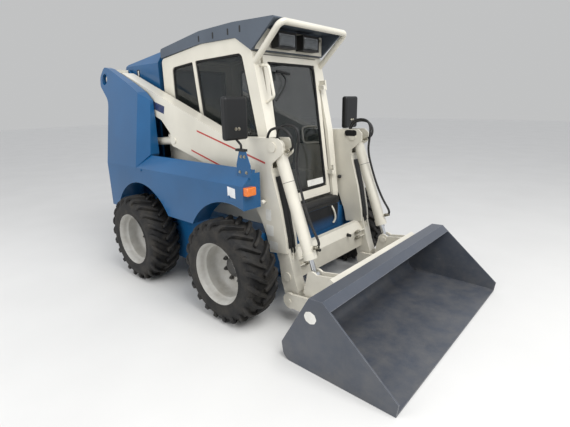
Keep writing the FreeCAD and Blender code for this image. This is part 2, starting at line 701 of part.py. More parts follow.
def arm():
    """Lift arm: hollow welded beam from the tower pivot to the knee, and the narrower leg below it."""
    outline = ([ARM_TOP[0] + (90,), ARM_TOP[1] + (90,), ARM_TOP[2] + (26,), ARM_ELBOW[0] + (30,),
                ARM_ELBOW[1] + (30,),
                ARM_ELBOW[2] + (16,), ARM_ELBOW[3]] + list(ARM_SHIN) + [p for p in ARM_CALF[:4]]
               + [ARM_CALF[4] + (90,)] + [ARM_BELLY[0], ARM_BELLY[1] + (30,), ARM_BELLY[2] + (40,),
                                          ARM_BELLY[3] + (30,),
                  ARM_BELLY[4] + (60,), ARM_BELLY[5], ARM_BELLY[6]])
    beam = plate(outline, ARM_IN_Y, ARM_OUT_Y)
    root = pin_y(PIVOT, ARM_END_R, ARM_IN_Y, ARM_OUT_Y)
    neck = plate([(PIVOT[0], PIVOT[1] + ARM_END_R), ARM_TOP[0], ARM_BELLY[6],
                  (PIVOT[0] - 10, PIVOT[1] - ARM_END_R + 1)],
                 ARM_IN_Y, ARM_OUT_Y)
    beam = fuse([beam, neck, root])
    hollow = inset_plate(outline, ARM_PLATE, ARM_IN_Y + ARM_PLATE, ARM_OUT_Y - ARM_PLATE)
    clevis = plate([(CLEVIS_BACK, CLEVIS_LOW), (ARM_ELBOW[1][0] + 9, CLEVIS_LOW),
                    (ARM_ELBOW[1][0] + 9, ARM_TOP[2][1] + 9),
                    (CLEVIS_BACK, ARM_TOP[2][1] + 9)], TILT_Y - SLOT_HALF, TILT_Y + SLOT_HALF)
    socket = block(LIFT_SLOT[0] - 1, LIFT_SLOT[1], LIFT_Y - SLOT_HALF, LIFT_Y + SLOT_HALF, LIFT_SLOT[2],
                   LIFT_SLOT[3])
    beam = cut(beam, [hollow, clevis, socket])
    leg = plate(list(LEG_BACK) + [(CARRIER_PIN[0] - LEG_END_R * 0.8, CARRIER_PIN[1] - LEG_END_R * 0.6),
                (CARRIER_PIN[0] + LEG_END_R * 0.9, CARRIER_PIN[1] + LEG_END_R * 0.42)] + list(LEG_FRONT),
                LEG_IN_Y, LEG_OUT_Y)
    toe = pin_y(CARRIER_PIN, LEG_END_R, LEG_IN_Y, LEG_OUT_Y)
    pin = pin_y(PIVOT, ARM_PIN_R, INNER_PLATE_Y - BOSS_OUT, EAR_CUP_Y + EAR_CUP_T + BOSS_OUT)
    bosses = [pin_y(TILT_TOP, BOSS_R, ARM_OUT_Y, ARM_OUT_Y + BOSS_OUT),
              pin_y(TILT_TOP, BOSS_R, ARM_IN_Y - BOSS_OUT, ARM_IN_Y),
              pin_y(LIFT_PIN, BOSS_R * 0.7, ARM_OUT_Y, ARM_OUT_Y + BOSS_OUT),
              pin_y(LIMB_SPOT, BOSS_R, LEG_OUT_Y, LEG_OUT_Y + BOSS_OUT)]
    tilt_pin = pin_y(TILT_TOP, PIN_R, ARM_IN_Y, ARM_OUT_Y)
    whole = fuse([beam, leg, toe, pin, tilt_pin] + bosses)
    return whole.cut(pin_y(CARRIER_PIN, PIN_R + PIN_GAP, LEG_IN_Y - 1, LEG_OUT_Y + 1))


def cross_member():
    """Box section that joins the two legs in front of the cab."""
    tube = plate(CROSS, -(LEG_IN_Y - SEAT_GAP), LEG_IN_Y - SEAT_GAP)
    hollow = inset_plate(CROSS, CROSS_WALL, -LEG_IN_Y, LEG_IN_Y)
    left = arm()
    return cut(tube, [hollow, left, other_side(left)])


def cylinder_barrel(base, eye, side_y, radius, rod_r, closed, rod_shown, base_r):
    """Hydraulic barrel from its base eye to its gland, bored for the rod, with the hose ports' bosses."""
    way = direction(base, eye)
    end = closed - rod_shown
    place = lambda d: (base[0] + way[0] * d, side_y, base[1] + way[1] * d)
    body = rod(place(base_r * 0.5), place(end - GLAND_LEN), radius)
    gland = rod(place(end - GLAND_LEN), place(end), radius + GLAND_OVER)
    lug = pin_y(base, base_r, side_y - EYE_HALF, side_y + EYE_HALF)
    ports = [rod(place(BASE_LUG + base_r), tuple_up(place(BASE_LUG + base_r), way, radius + PORT_OUT),
                 PORT_R),
             rod(place(end - GLAND_LEN - PORT_R * 2),
                 tuple_up(place(end - GLAND_LEN - PORT_R * 2), way, radius + PORT_OUT), PORT_R)]
    whole = fuse([body, gland, lug] + ports)
    bore = rod(place(base_r + BASE_LUG), place(end - GLAND_LEN), radius - BARREL_WALL)
    throat = rod(place(end - GLAND_LEN - 1), place(end + 1), rod_r + PIN_GAP)
    eye_bore = pin_y(base, PIN_R + PIN_GAP, side_y - EYE_HALF - 1, side_y + EYE_HALF + 1)
    return cut(whole, [bore, throat, eye_bore])


def tuple_up(place, way, height):
    """A point that stands off a cylinder's axis, square to it and on its upper or forward side."""
    return (place[0] - way[1] * height, place[1], place[2] + way[0] * height)


def cylinder_rod(base, eye, side_y, rod_r, closed, inside, eye_r):
    """Chromed rod that runs in the barrel, with its eye."""
    way = direction(base, eye)
    place = lambda d: (base[0] + way[0] * d, side_y, base[1] + way[1] * d)
    bar = rod(place(closed - inside), place(closed - eye_r * 0.6), rod_r)
    ring = pin_y(eye, eye_r, side_y - EYE_HALF, side_y + EYE_HALF)
    bore = pin_y(eye, PIN_R, side_y - EYE_HALF - 1, side_y + EYE_HALF + 1)
    return fuse([bar, ring]).cut(bore)


LIFT_CLOSED = math.hypot(LIFT_PIN[0] - LIFT_BASE[0], LIFT_PIN[1] - LIFT_BASE[1])
TILT_CLOSED = math.hypot(TILT_EYE[0] - TILT_TOP[0], TILT_EYE[1] - TILT_TOP[1])

right_arm = other_side(arm())
emit("arm_left", arm())
emit("arm_right", right_arm)
emit("cross_member", cross_member())

lift_barrel = cylinder_barrel(LIFT_BASE, LIFT_PIN, LIFT_Y, LIFT_BARREL_R, LIFT_ROD_R, LIFT_CLOSED,
                              LIFT_PIN[0] - LIFT_BARREL_END, LIFT_BASE_R)
lift_rod = cylinder_rod(LIFT_BASE, LIFT_PIN, LIFT_Y, LIFT_ROD_R, LIFT_CLOSED,
                        LIFT_PIN[0] - LIFT_BARREL_END + LIFT_STROKE + ROD_IN, EYE_R)
tilt_barrel = cylinder_barrel(TILT_TOP, TILT_EYE, TILT_Y, TILT_BARREL_R, TILT_ROD_R, TILT_CLOSED,
                              TILT_ROD_SHOWN, EYE_R + 8)
tilt_rod = cylinder_rod(TILT_TOP, TILT_EYE, TILT_Y, TILT_ROD_R, TILT_CLOSED, TILT_ROD_SHOWN
                        + TILT_STROKE + ROD_IN, EYE_R)
for name, piece in (("lift_barrel", lift_barrel), ("lift_rod", lift_rod), ("tilt_barrel", tilt_barrel),
                    ("tilt_rod", tilt_rod)):
    emit(name + "_left", piece)
    emit(name + "_right", other_side(piece))


# Tool carrier and bucket

def carrier():
    """Tool carrier: two plates at each leg, the eye's ears, and the frame that the bucket hangs on."""
    foot = (BUCKET[5][0] - FRAME_BACK, BUCKET[5][1] + 20.0)
    back = direction(BUCKET[5], BUCKET[0])
    head = along(foot, (foot[0] + back[0], foot[1] + back[1]), FRAME_TALL)
    ahead = (back[1], -back[0])
    thick = lambda p, t: (p[0] + ahead[0] * t, p[1] + ahead[1] * t)
    frame_reach = FRAME_BACK * ahead[0] + (BUCKET[5][1] - foot[1]) * ahead[1] - SEAT_GAP
    frame = plate([foot, head, thick(head, frame_reach), thick(foot, frame_reach)], -CARRIER_HALF,
                  CARRIER_HALF)
    window = plate([along(foot, head, 60), along(foot, head, FRAME_TALL - 70),
                    thick(along(foot, head, FRAME_TALL - 70), frame_reach + 1),
                    thick(along(foot, head, 60), frame_reach + 1)], -CARRIER_WINDOW, CARRIER_WINDOW)
    window.translate(V(-ahead[0] * 0.5, 0, -ahead[1] * 0.5))
    pieces = [frame.cut(window)]
    side_plate = [(CARRIER_PIN[0] - CARRIER_END_R * 0.5, CARRIER_PIN[1] + CARRIER_END_R * 0.87),
                  (CARRIER_PIN[0] - CARRIER_END_R * 0.5,
                  CARRIER_PIN[1] - CARRIER_END_R * 0.87), foot, along(foot, head, CARRIER_CHEEK)]
    ear_plate = [(TILT_EYE[0] - CARRIER_EAR_R * 0.95, TILT_EYE[1] + 8),
                 (TILT_EYE[0] + CARRIER_EAR_R * 0.7, TILT_EYE[1] + CARRIER_EAR_R * 0.7),
                 along(foot, head, FRAME_TALL - 20), along(foot, head, 60), (EAR_FOOT_X, EAR_FOOT_Z)]
    for side in (-1, 1):
        for low, high in CARRIER_PLATES:
            pieces.append(plate(side_plate, side * low, side * high))
            pieces.append(pin_y(CARRIER_PIN, CARRIER_END_R, side * low, side * high))
        pieces.append(pin_y(CARRIER_PIN, PIN_R, side * CARRIER_PLATES[0][0],
                            side * (CARRIER_PLATES[1][1] + BOSS_OUT)))
        for offset in (-1, 1):
            near = side * TILT_Y + offset * EAR_GAP
            far = side * TILT_Y + offset * (EAR_GAP + EAR_PLATE)
            ear = plate(ear_plate, near, far).fuse(pin_y(TILT_EYE, CARRIER_EAR_R, near, far))
            pieces.append(ear)
            pieces.append(pin_y(TILT_EYE, PIN_HEAD_R, far, far + side * offset * BOSS_OUT))
    return fuse(pieces)


def bucket():
    """Dirt bucket: bent back and floor plate, side plates with their edge, top flange and cutting edge."""
    shell = plate([BUCKET[0], BUCKET[1], BUCKET[2], BUCKET[3], BUCKET[4] + (60,), BUCKET[5] + (30,)],
                  -BUCKET_HALF, BUCKET_HALF)
    inside = plate([
        (BUCKET[0][0] + BUCKET_PLATE, BUCKET[0][1] - FLANGE_DROP),
        (BUCKET[1][0] + 200, BUCKET[1][1] - FLANGE_DROP + 2),
        (LIP_X + MOUTH_ROOM, BUCKET[2][1]), (LIP_X + MOUTH_ROOM, BUCKET_PLATE + 8),
        (LIP_X - EDGE_DEEP, BUCKET_PLATE),
        (BUCKET[4][0] + BUCKET_PLATE, BUCKET_PLATE, 80),
        (BUCKET[5][0] + BUCKET_PLATE + 8, BUCKET[5][1], 60),
    ], -(BUCKET_HALF - BUCKET_PLATE), BUCKET_HALF - BUCKET_PLATE)
    return shell.cut(inside)


emit("tool_carrier", carrier())
emit("bucket", bucket())


# Cab

def cab_outer(extra=0.0):
    """The cab's outer form, grown sideways by an extra width."""
    return plate(CAB_SIDE, -CAB_HALF - extra, CAB_HALF + extra)


def cab_frame():
    """Welded cab: hollow, with its side, rear and front openings cut and its hinge lugs."""
    room = inset_plate(CAB_SIDE, CAB_WALL, -(CAB_HALF - CAB_WALL), CAB_HALF - CAB_WALL)
    floor_gap = block(CAB_REAR + CAB_WALL, FLOOR_GAP_X, -(CAB_HALF - CAB_WALL), CAB_HALF - CAB_WALL,
                      CAB_LOW - 1, CAB_LOW + CAB_WALL + 1)
    doorway = block(CAB_FRONT_CUT, LIP_X, -DOOR_OPEN_HALF, DOOR_OPEN_HALF, CAB_LOW - 1, DOOR_OPEN_TOP)
    back = block(CAB_REAR - 1, CAB_REAR + CAB_WALL + 1, -REAR_LIGHT[0], REAR_LIGHT[0], REAR_LIGHT[1],
                 REAR_LIGHT[2])
    hatch = block(HATCH[0], HATCH[1], -HATCH[2], HATCH[2], CAB_SIDE[1][1] - 60, ROOF_TOP)
    sides = [plate(WINDOW_BACK, -BODY_HALF, BODY_HALF), plate(WINDOW_FRONT, -BODY_HALF, BODY_HALF)]
    shell = cut(cab_outer(), [room, floor_gap, doorway, back, hatch] + sides)
    return fuse([shell] + [door_knuckle(z, 1) for z in HINGE_Z])


def door_face_x(z):
    """Where the raked door's outer face lies at a height."""
    low, high = DOOR_FACE
    return low[0] + (high[0] - low[0]) * (z - low[1]) / (high[1] - low[1])


def door_knuckle(z, upper):
    """Half of a door hinge: the cab's half stands above the door's half on the same raked axis."""
    way = direction(DOOR_FACE[0], DOOR_FACE[1])
    base = (door_face_x(z) + HINGE_AHEAD, HINGE_Y, z)
    shift = SEAT_GAP / 2.0 if upper else -SEAT_GAP / 2.0 - HINGE_LEN
    start = (base[0] + way[0] * shift, HINGE_Y, base[2] + way[1] * shift)
    end = (start[0] + way[0] * HINGE_LEN, HINGE_Y, start[2] + way[1] * HINGE_LEN)
    barrel = rod(start, end, HINGE_R)
    ends = [(start[0] + way[0] * step, start[2] + way[1] * step)
            for step in (HINGE_TRIM, HINGE_LEN - HINGE_TRIM)]

    def bar(ahead, behind, y0, y1):
        outline = [(x + ahead, z) for x, z in ends] + [(x - behind, z) for x, z in reversed(ends)]
        return plate(outline, y0, y1)

    if upper:
        return barrel.fuse(bar(0, HINGE_AHEAD + HINGE_ROOT, HINGE_Y - STRAP / 2.0, HINGE_Y + STRAP / 2.0))
    across = bar(STRAP / 2.0, STRAP / 2.0, HINGE_ARM_Y, HINGE_Y)
    back = bar(STRAP / 2.0, HINGE_AHEAD + STRAP, HINGE_ARM_Y, HINGE_ARM_Y + STRAP)
    return fuse([barrel, across, back])


def door_leaf(y0, y1, z0, z1, depth0, depth1):
    """Slab parallel to the raked door face between two depths behind it."""
    points = [(door_face_x(z0) - depth0, z0), (door_face_x(z1) - depth0, z1),
              (door_face_x(z1) - depth1, z1),
              (door_face_x(z0) - depth1, z0)]
    return plate(points, y0, y1)


def door_frame():
    """Door frame round its glass, with its lower bar, hinge halves and lock."""
    leaf = door_leaf(-DOOR_HALF, DOOR_HALF, DOOR_Z[0], DOOR_Z[1], 0, DOOR_T)
    opening = door_leaf(-(DOOR_HALF - DOOR_RIM), DOOR_HALF - DOOR_RIM, DOOR_Z[0] + DOOR_BOTTOM_BAR,
                        DOOR_Z[1] - DOOR_RIM,
                        -1, DOOR_T + 1)
    return fuse([leaf.cut(opening)] + [door_knuckle(z, 0) for z in HINGE_Z])


def door_glass():
    """Glass pane inside the door frame."""
    half = DOOR_HALF - DOOR_RIM - SEAT_GAP
    depth = DOOR_T / 2.0
    return door_leaf(-half, half, DOOR_Z[0] + DOOR_BOTTOM_BAR + SEAT_GAP,
                     DOOR_Z[1] - DOOR_RIM - SEAT_GAP, depth - GLASS_T / 2.0,
                     depth + GLASS_T / 2.0)


def side_windows():
    """Two panes in each side of the cab."""
    panes = []
    for outline in (WINDOW_BACK, WINDOW_FRONT):
        pane = inset_plate(outline, SEAT_GAP, GLASS_Y, GLASS_Y + GLASS_T)
        panes += [pane, other_side(pane)]
    return Part.makeCompound(panes)


def rear_window():
    """Rear pane."""
    x = CAB_REAR + CAB_WALL / 2.0
    half, low, high = REAR_LIGHT
    return block(x, x + GLASS_T, -half + SEAT_GAP, half - SEAT_GAP, low + SEAT_GAP, high - SEAT_GAP)


def cab_roof():
    """Moulded roof cap with its visor and pointed cheeks."""
    cap = plate(ROOF_SIDE, -ROOF_HALF, ROOF_HALF)
    under = plate([(VISOR_BACK, 1880.0), (VISOR_BACK, ROOF_SIDE[4][1] - VISOR_T),
                   (ROOF_SIDE[4][0] + 30, ROOF_SIDE[4][1] - VISOR_T),
                   (ROOF_SIDE[4][0] + 30, 1880.0)], -(ROOF_HALF - ROOF_CHEEK), ROOF_HALF - ROOF_CHEEK)
    return cap.cut(under).cut(cab_outer(extra=40.0))


def brow():
    """Tube that runs round the front of the roof from pillar to pillar."""
    tube = pipe([(BROW_LOW[0] - 20, -BROW_Y, BROW_LOW[1] - 19), (BROW_HIGH[0], -BROW_Y, BROW_HIGH[1]),
                 (BROW_HIGH[0], BROW_Y, BROW_HIGH[1]), (BROW_LOW[0] - 20, BROW_Y, BROW_LOW[1] - 19)],
                 BROW_R, BROW_BEND)
    return tube.cut(cab_outer(extra=40.0))


def header_panel():
    """Panel between the roof's cheeks, behind the work lamps."""
    depth, half, low, high = HEADER
    return block(VISOR_BACK + SEAT_GAP, VISOR_BACK + SEAT_GAP + depth, -half, half, low, high)


def work_lamps():
    """Two square work lamps on the header panel."""
    depth, near, far, low, high = LAMP
    x = VISOR_BACK + HEADER[0] + 2 * SEAT_GAP
    lamp = block(x, x + depth, near, far, low, high)
    lamp = lamp.makeChamfer(12.0, [e for e in lamp.Edges if abs(e.CenterOfMass.x - x) < TINY_EDGE])
    dish = block(x + depth - 10.0, x + depth + 1, near + 12, far - 12, low + 12, high - 12)
    return pair(lamp.cut(dish))


def seat_base():
    """Closed box under the seat."""
    x0, x1, half, top = SEAT_BASE
    return block(x0, x1, -half, half, CAB_LOW, top)


def seat_cushion():
    """Seat cushion."""
    x0, x1, half, thick = CUSHION
    pad = block(x0, x1, -half, half, SEAT_BASE[3] + SEAT_GAP, SEAT_BASE[3] + SEAT_GAP + thick)
    return pad.makeFillet(24.0, [e for e in pad.Edges if e.CenterOfMass.z > SEAT_BASE[3] + 20])


def seat_back():
    """Backrest that stands behind the cushion on the seat base."""
    x0, x1, half, top = BACKREST
    low = SEAT_BASE[3] + SEAT_GAP
    pad = plate([(x0 + 60, low), (x1 - SEAT_GAP, low), (x1 - SEAT_GAP, low + 60), (x1 - 70, top),
                 (x0 - 30, top)], -half, half)
    return pad.makeFillet(20.0, [e for e in pad.Edges if e.CenterOfMass.z > low + 5])


def control_consoles():
    """Side boxes of the foot well, inside the cab."""
    x0, x1, near, top = CONSOLE
    return pair(block(x0, x1, near - CONSOLE_IN, CAB_HALF - CAB_WALL - SEAT_GAP, CAB_LOW, top))


def control_levers():
    """Two steering levers with their knobs, standing on the consoles."""
    stem = rod((LEVER_X - LEVER_LEAN, LEVER_Y + 10, CONSOLE[3] + LEVER_R), (LEVER_X, LEVER_Y, LEVER_TOP), LEVER_R)
    knob = Part.makeCylinder(KNOB_R, KNOB_H, V(LEVER_X, LEVER_Y, LEVER_TOP), V(0.1, 0, 1))
    foot = V(LEVER_X - LEVER_LEAN, LEVER_Y + 10, CONSOLE[3] + SEAT_GAP)
    boot = Part.makeCone(BOOT[0], BOOT[1], BOOT[2], foot, V(0, 0, 1))
    return pair(fuse([stem, knob, boot]))


def front_step():
    """Black step bar over the nose of the foot well."""
    x0, x1, half, tall = STEP
    bar = block(x0, x1, -half, half, STEP_Z, STEP_Z + tall)
    return bar.makeFillet(20.0, [e for e in bar.Edges if e.CenterOfMass.z > STEP_Z + tall - 1])


def grab_handle():
    """Bent grab handle on the right front pillar."""
    path = [(x, -HANDLE_Y, z) for x, z in HANDLE]
    path[0] = (path[0][0] - 30, path[0][1], path[0][2] + 3)
    path[-1] = (path[-1][0] - 30, path[-1][1], path[-1][2] - 17)
    return pipe(path, HANDLE_R, 28.0).cut(cab_outer())


# Hood and tailgate

def hood_block(inset):
    """Hood's outer form, or with an inset the hollow inside it."""
    half = HOOD_HALF - inset
    top_half = HOOD_TOP_HALF - inset * 0.5
    low = HOOD_LOW - (1 if inset else 0)
    section = section_yz([(-half, low), (half, low), (half, HOOD_CREASE - inset * 0.5),
                          (top_half, HOOD_TOP[0] - inset),
                          (-top_half, HOOD_TOP[0] - inset), (-half, HOOD_CREASE - inset * 0.5)],
                          HOOD_REAR, HOOD_FRONT)
    side = plate([(HOOD_FRONT - inset, low), (HOOD_FRONT - inset, HOOD_TOP[0] - inset),
                  (HOOD_REAR + 60, HOOD_TOP[1] - inset, 50),
                  (HOOD_REAR + inset, HOOD_TOP[1] - 80), (HOOD_REAR + inset, low)], -half, half)
    return section.common(side)


def engine_hood():
    """Hinged hood behind the cab: sides, sloped top, rear face, hinge straps at the front."""
    shell = hood_block(0).cut(hood_block(SKIN))
    straps = []
    for side in (-1, 1):
        y = side * HOOD_HINGE_Y
        eye = pin_y(HOOD_HINGE, HOOD_HINGE_R, y - HOOD_HINGE_W / 2, y + HOOD_HINGE_W / 2)
        strap = plate([(HOOD_HINGE[0], HOOD_HINGE[1] - HOOD_HINGE_R),
                       (HOOD_HINGE[0], HOOD_HINGE[1] + HOOD_HINGE_R),
                       (HOOD_FRONT - 4, HOOD_HINGE[1] + HOOD_HINGE_R),
                       (HOOD_FRONT - 4, HOOD_HINGE[1] - HOOD_HINGE_R)],
                      y - HOOD_HINGE_W / 2, y + HOOD_HINGE_W / 2)
        straps += [eye, strap]
    return fuse([shell] + straps).cut(pin_y(HOOD_HINGE, HOOD_PIN_R + PIN_GAP, -HOOD_HALF, HOOD_HALF))


def bay_frame():
    """Engine bay frame: rails on the towers' inner plates, rear rail, and the posts that carry the hood hinge."""
    out = INNER_PLATE_Y - SEAT_GAP
    rails = []
    for side in (-1, 1):
        rails.append(block(BAY_REAR, BAY_FRONT, side * (out - BAY_RAIL), side * out, BAY_LOW,
                           HOOD_LOW - SEAT_GAP))
        y = side * (HOOD_HINGE_Y + HOOD_HINGE_W / 2 + POST_W / 2 + SEAT_GAP)
        post = block(HOOD_HINGE[0] - POST_D / 2, HOOD_HINGE[0] + POST_D / 2, y - POST_W / 2, y
                     + POST_W / 2, BAY_LOW, HOOD_HINGE[1])
        cap = pin_y(HOOD_HINGE, POST_D / 2, y - POST_W / 2, y + POST_W / 2)
        pin = pin_y(HOOD_HINGE, HOOD_PIN_R, side * HOOD_HINGE_Y - HOOD_HINGE_W / 2, side * HOOD_HINGE_Y
                    + HOOD_HINGE_W / 2 + POST_W)
        if side < 0:
            pin = pin_y(HOOD_HINGE, HOOD_PIN_R, side * HOOD_HINGE_Y - HOOD_HINGE_W / 2 - POST_W,
                        side * HOOD_HINGE_Y + HOOD_HINGE_W / 2)
        rails += [post, cap, pin]
    rails.append(block(BAY_FRONT - BAY_RAIL, BAY_FRONT, -out, out, BAY_LOW, HOOD_LOW - SEAT_GAP))
    rails.append(block(BAY_REAR, BAY_REAR + BAY_RAIL, -out, out, BAY_LOW, HOOD_LOW - SEAT_GAP))
    return fuse(rails)


def gate_knuckle(z, upper):
    """Half of a tailgate hinge on its upright axis."""
    low = z + SEAT_GAP / 2.0 if upper else z - SEAT_GAP / 2.0 - HINGE_LEN
    barrel = Part.makeCylinder(HINGE_R + 2, HINGE_LEN, V(GATE_HINGE[0], GATE_HINGE[1], low))
    if upper:
        strap = block(GATE_HINGE[0], BAY_REAR + 40, GATE_HINGE[1] - 10, GATE_HINGE[1] + 4, low, low
                      + HINGE_LEN)
        foot = block(BAY_REAR + 6, BAY_REAR + 40, INNER_PLATE_Y + INNER_PLATE_T - 2, GATE_HINGE[1] + 4,
                     low, low + HINGE_LEN)
        return fuse([barrel, strap, foot])
    return barrel.fuse(block(GATE[0] + 4, GATE[1] - 4, GATE[2] - 4, GATE_HINGE[1], low, low + HINGE_LEN))


def tailgate():
    """Rear door of the engine bay with its louvre slots and hinge halves."""
    x0, x1, half, low, high = GATE
    leaf = block(x0, x1, -half, half, low, high)
    leaf = leaf.makeChamfer(10.0, [e for e in leaf.Edges if e.CenterOfMass.x < x0 + TINY_EDGE])
    slots = []
    for i in range(GATE_SLOTS):
        z = GATE_SLOT[2] + i * GATE_SLOT[3]
        slots.append(plate([(x0 - 1, z), (x1 + 1, z + 12), (x1 + 1, z + 12 + GATE_SLOT[1]),
                            (x0 - 1, z + GATE_SLOT[1])],
                           -GATE_SLOT[0], GATE_SLOT[0]))
    return fuse([cut(leaf, slots)] + [gate_knuckle(z, 0) for z in GATE_HINGE_Z])


# Mirrors and lamps

def mirror():
    """Mirror head on its rod, with the clamp at the rod's foot."""
    x0, x1, y0, y1, z0, z1 = MIRROR
    head = block(x0, x1, y0, y1, z0, z1)
    head = head.makeFillet(20.0, head.Edges)
    x, y, z = MIRROR_FOOT
    stem = pipe([(x, y, z), (x, y, z0 - 30), ((x0 + x1) / 2.0 - 1, y, z0 + 10),
                 ((x0 + x1) / 2.0, y, z0 + 60)], MIRROR_ROD_R, 14.0)
    clamp = block(x - 45, x + 45, y - 14, y + 14, BRACKET[3][1] + SEAT_GAP, BRACKET[3][1] + 16)
    return fuse([head, stem, clamp])


def mirror_bracket():
    """Upright plate on the fender's sloped top that carries the mirror."""
    y = MIRROR_FOOT[1]
    return plate(BRACKET, y - BRACKET_T / 2, y + BRACKET_T / 2)


def indicator():
    """Front indicator lamp in its housing on the fender's front end."""
    deep, wide, tall, z = INDICATOR
    y1 = BODY_HALF - 6.0
    lamp = block(FENDER_FRONT + SEAT_GAP, FENDER_FRONT + SEAT_GAP + deep, y1 - wide, y1, z - tall / 2, z
                 + tall / 2)
    return lamp.makeFillet(8.0, [e for e in lamp.Edges if e.CenterOfMass.x > FENDER_FRONT + 2])


def rear_lamp():
    """Rear lamp on the tower's rear face."""
    deep, wide, tall, z, y = REAR_LAMP
    lamp = block(TOWER_REAR - SEAT_GAP - deep, TOWER_REAR - SEAT_GAP, y - wide / 2, y + wide / 2,
                 z - tall / 2, z + tall / 2)
    return lamp.makeFillet(8.0, [e for e in lamp.Edges if e.CenterOfMass.x < TOWER_REAR - 2])


emit("cab_frame", cab_frame())
emit("door_frame", door_frame())
emit("door_glass", door_glass())
emit("side_windows", side_windows())
emit("rear_window", rear_window())
emit("cab_roof", cab_roof())
emit("brow", brow())
emit("header_panel", header_panel())
emit("work_lamps", work_lamps())
emit("seat_base", seat_base())
emit("seat_cushion", seat_cushion())
emit("seat_back", seat_back())
emit("control_consoles", control_consoles())
emit("control_levers", control_levers())
emit("front_step", front_step())
emit("grab_handle", grab_handle())
emit("engine_hood", engine_hood())
emit("bay_frame", bay_frame())
emit("tailgate", tailgate())
emit("mirrors", pair(mirror()))
emit("mirror_brackets", pair(mirror_bracket().cut(fender_block(0, TUB_HALF))))
emit("indicator_lamps", pair(indicator()))
emit("rear_lamps", pair(rear_lamp()))
left_upright = fuse([upright()] + [gate_knuckle(z, 1) for z in GATE_HINGE_Z])
emit("uprights", Part.makeCompound([left_upright, other_side(upright())]))
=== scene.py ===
# %% [markdown]
# # A skid steer loader, from solid model to picture
# The solid model of this loader comes from a CAD program. It holds every panel, pin and cylinder at its
# real size. This lesson dresses it: each finish is a small node tree, and the forms that a solid model
# leaves plain, such as tyre tread and a padded seat, are made here as meshes.
# %% Load the solid model
import bpy
import bmesh
import json
import math
from mathutils import Matrix, Vector


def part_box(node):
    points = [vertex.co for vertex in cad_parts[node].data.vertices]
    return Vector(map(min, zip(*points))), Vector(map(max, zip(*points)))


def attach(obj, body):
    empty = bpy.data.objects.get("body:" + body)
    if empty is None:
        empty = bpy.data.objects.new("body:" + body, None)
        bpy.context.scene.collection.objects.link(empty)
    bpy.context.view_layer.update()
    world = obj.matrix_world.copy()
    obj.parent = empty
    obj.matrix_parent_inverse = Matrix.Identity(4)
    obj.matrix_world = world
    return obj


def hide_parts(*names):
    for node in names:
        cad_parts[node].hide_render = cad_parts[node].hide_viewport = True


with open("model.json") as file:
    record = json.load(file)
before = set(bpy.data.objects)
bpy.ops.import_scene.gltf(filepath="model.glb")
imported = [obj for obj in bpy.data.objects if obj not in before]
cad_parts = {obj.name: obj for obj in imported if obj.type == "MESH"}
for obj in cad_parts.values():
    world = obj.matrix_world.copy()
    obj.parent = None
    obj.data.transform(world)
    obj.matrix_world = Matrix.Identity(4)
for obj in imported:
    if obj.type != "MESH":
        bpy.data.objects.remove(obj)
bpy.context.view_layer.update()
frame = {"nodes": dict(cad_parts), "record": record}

# %% [markdown]
# ## The view
# The camera stands where the photographer stood, worked out from the two near wheels, the bucket and the cab.
# It looks slightly down at the front right corner, with a wide lens, so the bucket looks large.
# A camera's own axes are its right, its up and the way backwards, and those make its matrix.
# %% Camera
CAMERA_AT = Vector((2.319, -2.4648, 1.5505))
CAMERA_LOOK = Vector((-0.63851, 0.71893, -0.27467)).normalized()
CAMERA_UP = Vector((-0.16892, 0.21728, 0.96138)).normalized()
CAMERA_LENS = 24.66

camera_data = bpy.data.cameras.new("camera")
camera_data.lens = CAMERA_LENS
camera_data.sensor_fit = "HORIZONTAL"
camera = bpy.data.objects.new("camera", camera_data)
camera.matrix_world = Matrix.Translation(CAMERA_AT) @ Matrix(
    (CAMERA_LOOK.cross(CAMERA_UP), CAMERA_UP, -CAMERA_LOOK)).transposed().to_4x4()
bpy.context.collection.objects.link(camera)
bpy.context.scene.camera = camera
print("camera at", tuple(round(v, 2) for v in CAMERA_AT), "with a", CAMERA_LENS, "mm lens")

# %% [markdown]
# ## Writing node trees as sums
# A material is a graph of nodes, but most of what it does is arithmetic: a mask times a colour, one minus a
# height. The class below wraps one output socket, so that such arithmetic can be typed as Python. Each
# operator adds one Math node. Every other node comes from `Finish.node`, which sets the node's settings
# first, because some of them change which sockets it has.
# %% A socket that can be added and multiplied
class Value:
    """One output socket of a finish's node tree."""

    def __init__(self, finish, socket):
        self.finish = finish
        self.socket = socket

    def math(self, operation, first, second):
        """A Math node of two values, either of which may be a plain number."""
        return self.finish.node("ShaderNodeMath", {"operation": operation}, {0: first, 1: second})

    def __add__(self, other):
        return self.math("ADD", self, other)

    def __sub__(self, other):
        return self.math("SUBTRACT", self, other)

    def __rsub__(self, other):
        return self.math("SUBTRACT", other, self)

    def __mul__(self, other):
        return self.math("MULTIPLY", self, other)

    def between(self, low, high):
        """0 below low and 1 above high, with a straight climb from one to the other."""
        return self.finish.node("ShaderNodeMapRange", {"clamp": True},
                                {"Value": self, "From Min": low, "From Max": high})

    __radd__ = __add__
    __rmul__ = __mul__


